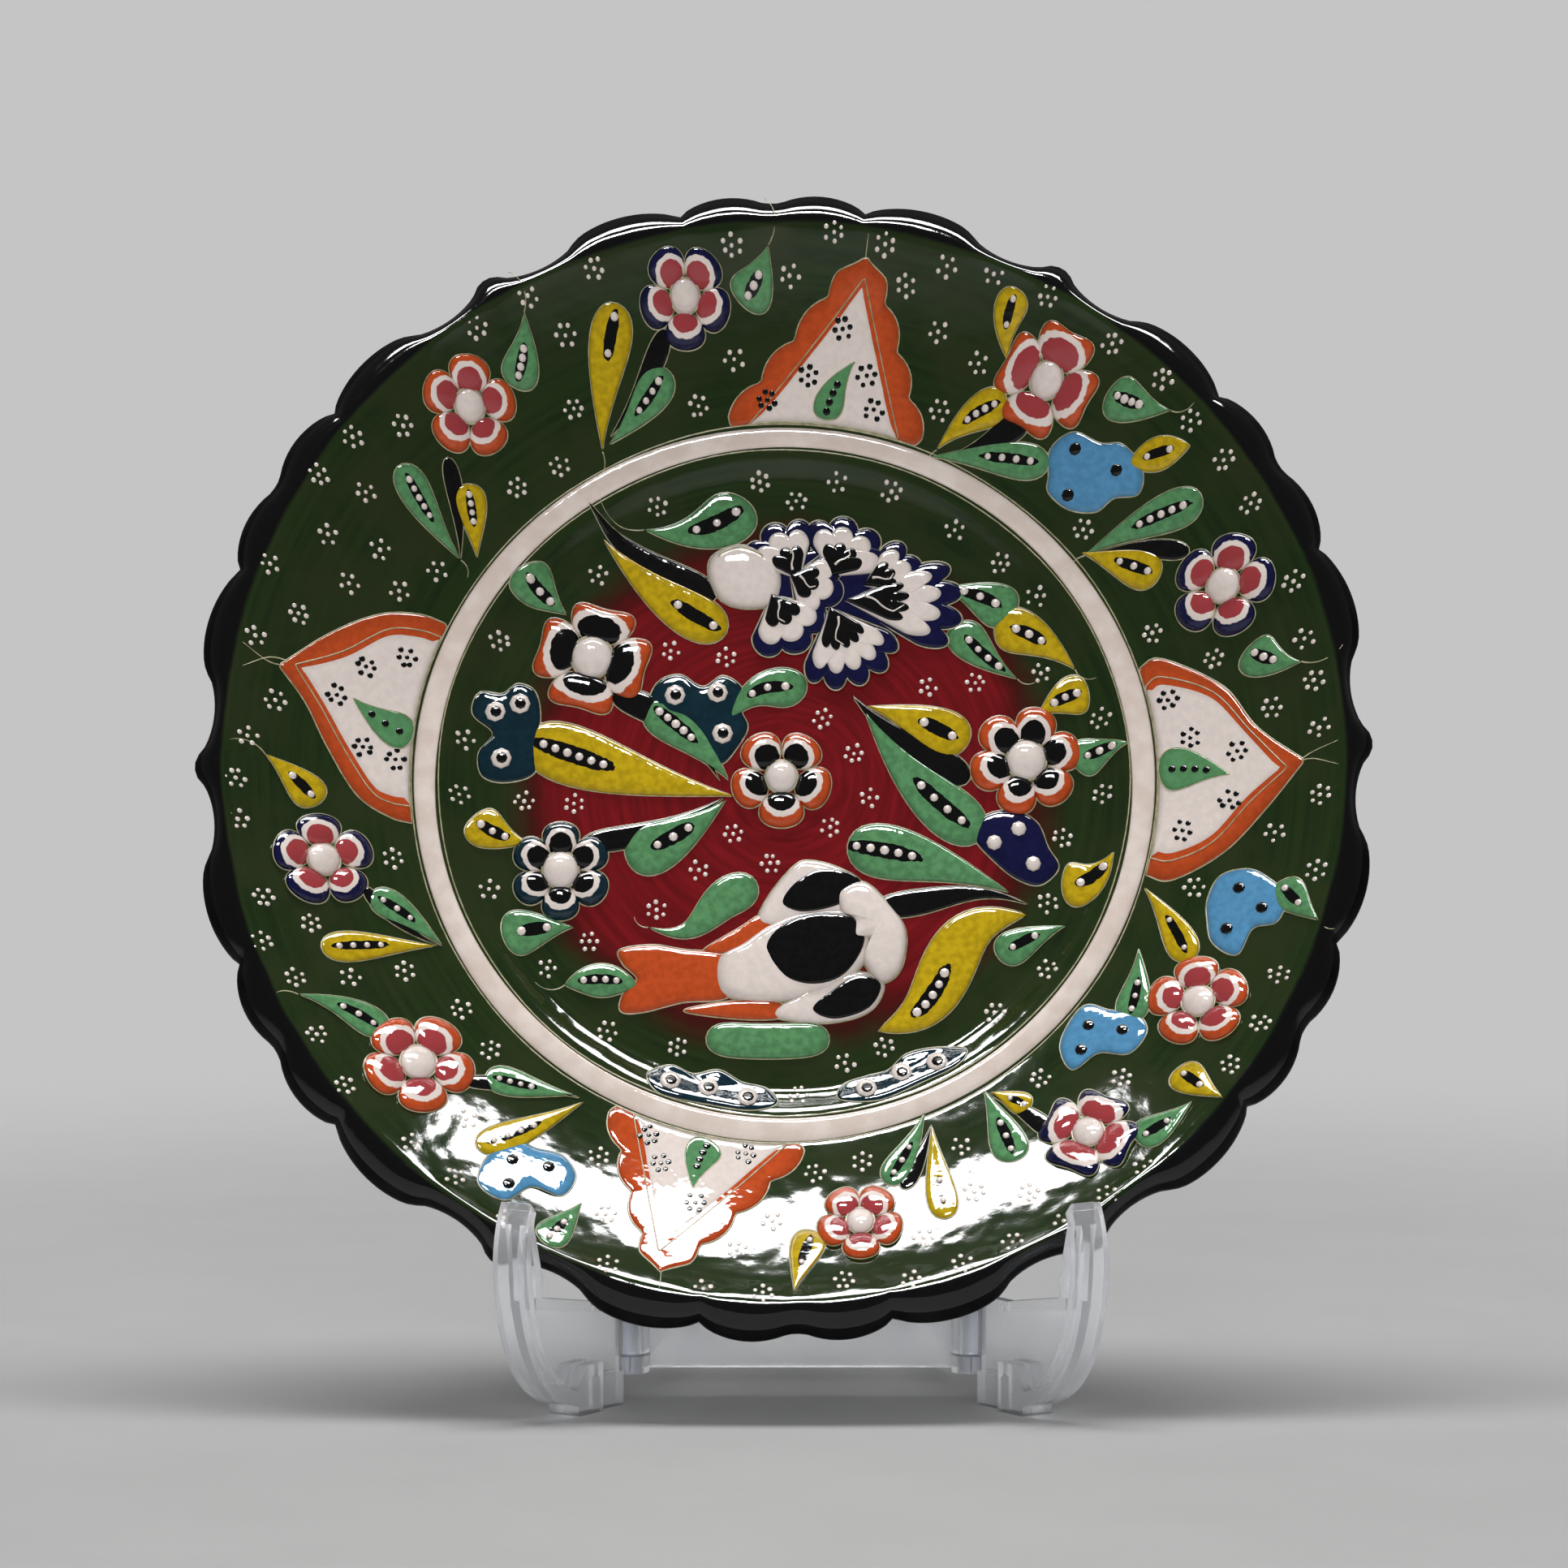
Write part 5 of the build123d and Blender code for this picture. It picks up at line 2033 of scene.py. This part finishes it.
@dataclass
class Stand:
    """The clear folding stand."""

    nodes: tuple[str, ...] = ("back_frame", "left_arm", "right_arm")
    pins: tuple[str, ...] = ("left_hinge_pin", "right_hinge_pin")

    def build(self) -> None:
        """Dress the stand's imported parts."""
        plastic = ClearPlastic("clear_plastic").material()
        pin_plastic = ClearPlastic("pin_plastic", (0.74, 0.8, 0.94)).material()
        for names, material in ((self.nodes, plastic), (self.pins, pin_plastic)):
            for name in names:
                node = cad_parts[name]
                for slot in node.material_slots:
                    slot.material = material
                if not node.material_slots:
                    node.data.materials.append(material)


# ---- Studio --------------------------------------------------------------------------------------


class Shine(Enum):
    """What a lamp does: lights things, shows in glossy surfaces, or both."""

    LIGHTS = "lights"
    MIRRORED = "mirrored"
    BOTH = "both"


@dataclass
class Studio:
    """Pale table, soft lights and the camera."""

    table_back: float = 2.2
    table_front: float = 0.45
    table_side: float = 1.9
    fade_start: float = 0.16
    fade_end: float = 0.42
    camera_away: float = 1.0
    camera_rise: float = math.radians(4.4)
    sensor: float = 36.0
    lens: float = 150.07
    aim_depth: float = 22.5 * MM
    aim_drop: float = 0.0047

    def table(self) -> None:
        """Lay the pale table top."""
        deselect_all()
        bpy.ops.mesh.primitive_plane_add(size=2.0)
        table = bpy.context.object
        table.name = "table_top"
        for vertex in table.data.vertices:
            vertex.co.x *= self.table_side
            vertex.co.y = self.table_back if vertex.co.y > 0 else -self.table_front
            vertex.co.z = CAD_FLOOR
        bench = NodeBench("table_paper")
        source = bench.add("ShaderNodeTexCoord")
        fibre = bench.noise(source.outputs["Object"], 40.0, 5.0)
        paper = bench.mix(bench.step(fibre, 0.3, 0.7), (0.45, 0.45, 0.45), (0.465, 0.465, 0.465))
        bench.join(paper, bench.shader.inputs["Base Color"])
        distance = bench.add("ShaderNodeVectorMath", operation="LENGTH")
        bench.join(source.outputs["Object"], distance.inputs[0])
        fade = bench.step(distance.outputs["Value"], self.fade_end, self.fade_start)
        bench.join(fade, bench.shader.inputs["Alpha"])
        bench.shader.inputs["Roughness"].default_value = 0.6
        bench.shader.inputs["Specular IOR Level"].default_value = 0.2
        table.data.materials.append(bench.material)

    def lamp(self, name: str, place: tuple[float, float, float], aim: tuple[float, float, float],
             size: tuple[float, float], power: float, shine: Shine = Shine.BOTH) -> None:
        """Hang one soft box.

        Args:
            name: Name of the lamp.
            place: Where it hangs, in metres.
            aim: Point that it faces.
            size: Width and depth in metres.
            power: Its power in watts.
            shine: What the lamp does.
        """
        light = bpy.data.lights.new(name, "AREA")
        light.shape = "RECTANGLE"
        light.size, light.size_y = size
        light.energy = power
        lamp = bpy.data.objects.new(name, light)
        lamp.location = place
        lamp.rotation_euler = (Vector(aim) - Vector(place)).to_track_quat("-Z", "Y").to_euler()
        lamp.visible_glossy = shine is not Shine.LIGHTS
        lamp.visible_diffuse = shine is not Shine.MIRRORED
        bpy.context.scene.collection.objects.link(lamp)

    def room(self, seen: float = 0.557, felt: float = 0.1) -> None:
        """Fill the room with a dim light, behind a pale wall.

        Args:
            seen: Brightness of the wall behind the table.
            felt: Brightness that the room adds to the things in it.
        """
        world = bpy.data.worlds.new("studio_room")
        bpy.context.scene.world = world
        world.use_nodes = True
        nodes, links = world.node_tree.nodes, world.node_tree.links
        wall = nodes["Background"]
        wall.inputs["Color"].default_value = (1.0, 1.0, 1.0, 1)
        path = nodes.new("ShaderNodeLightPath")
        spread = nodes.new("ShaderNodeMapRange")
        through = nodes.new("ShaderNodeMath")
        through.operation = "MAXIMUM"
        links.new(path.outputs["Is Camera Ray"], through.inputs[0])
        links.new(path.outputs["Is Transmission Ray"], through.inputs[1])
        links.new(through.outputs["Value"], spread.inputs["Value"])
        spread.inputs["To Min"].default_value = felt
        spread.inputs["To Max"].default_value = seen
        links.new(spread.outputs["Result"], wall.inputs["Strength"])

    def camera(self) -> None:
        """Set the camera a metre away, a little above the plate."""
        middle = SEAT.origin + SEAT.facing * self.aim_depth
        aim = Vector((0.0, middle.y, middle.z - self.aim_drop))
        away = Vector((0, -math.cos(self.camera_rise), math.sin(self.camera_rise))) * self.camera_away
        data = bpy.data.cameras.new("camera")
        data.sensor_width = self.sensor
        data.lens = self.lens
        data.clip_end = 50.0
        camera = bpy.data.objects.new("camera", data)
        camera.location = aim + away
        camera.rotation_euler = (aim - camera.location).to_track_quat("-Z", "Y").to_euler()
        bpy.context.scene.collection.objects.link(camera)
        bpy.context.scene.camera = camera

    def build(self) -> None:
        """Set up the table, lights and room."""
        bpy.context.scene.view_settings.view_transform = "Standard"
        self.table()
        self.lamp("top_box", (0.0, 0.05, 1.1), (0.0, 0.03, 0.1), (1.15, 0.28), 10.0)
        self.lamp("top_glint", (0.0, 0.05, 1.12), (0.0, 0.03, 0.1), (1.15, 0.28), 20.0, Shine.MIRRORED)
        self.lamp("front_strip", (-0.1, -0.54, 1.15), (0.0, 0.0, 0.09), (0.5, 0.16), 26.0, Shine.MIRRORED)
        self.lamp("back_wash", (0.0, 1.3, 1.6), (0.0, 0.7, 0.0), (2.4, 1.2), 10.0, Shine.LIGHTS)
        self.lamp("front_fill", (0.0, -1.5, 0.3), (0.0, 0.0, 0.1), (1.2, 0.5), 15.0, Shine.LIGHTS)
        self.room()


def main() -> None:
    """Build the plate, its decoration, the stand and the studio, in order."""
    logging.basicConfig(level=logging.INFO, format="%(name)s: %(message)s")
    studio = Studio()
    studio.camera()
    palette = Palette()
    PlateBody(palette=palette).build()
    CreamRing(palette).build()
    for cartouche in cartouches(palette):
        cartouche.build()
    for node, slot, flowers in (
        ("rim_flowers_orange", "orange_enamel", RIM_ORANGE), ("rim_flowers_navy", "navy_enamel", RIM_NAVY),
        ("centre_flower", "orange_enamel", CENTRE_FLOWER), ("well_flowers", "black_enamel", WELL_FLOWERS),
    ):
        BlossomBed(node, slot, flowers, palette).build()
    FlowerCentres(palette).build()
    black = palette.plain[Paint.BLACK]
    for node, slot, leaves, material, height in (
        ("rim_green_leaves", "leaf_green_enamel", RIM_GREEN, palette.green_leaf, 0.85),
        ("rim_yellow_leaves", "yellow_enamel", RIM_YELLOW, palette.yellow_leaf, 0.85),
        ("rim_black_stems", "black_enamel", RIM_BLACK, black, 0.5),
        ("well_green_leaves", "leaf_green_enamel", WELL_GREEN, palette.green_leaf, 0.9),
        ("well_yellow_leaves", "yellow_enamel", WELL_YELLOW, palette.yellow_leaf, 0.9),
        ("well_black_stems", "black_enamel", WELL_BLACK, black, 0.6),
    ):
        Foliage(node, slot, leaves, material, height, palette).build()
    for node, slot, clouds, paint, eye in (
        ("rim_blue_clouds", "light_blue_enamel", RIM_CLOUDS, Paint.LIGHT_BLUE, Eye.BLACK),
        ("well_teal_clouds", "teal_enamel", WELL_CLOUDS, Paint.TEAL, Eye.RING),
        ("well_navy_cloud", "navy_enamel", NAVY_CLOUD, Paint.NAVY, Eye.WHITE),
    ):
        CloudBank(node, slot, clouds, paint, eye, palette).build()
    Carnation(palette).build()
    Tulip(palette).build()
    DotFlowers(palette).build()
    Stand().build()
    studio.build()


if __name__ == "__main__":
    main()
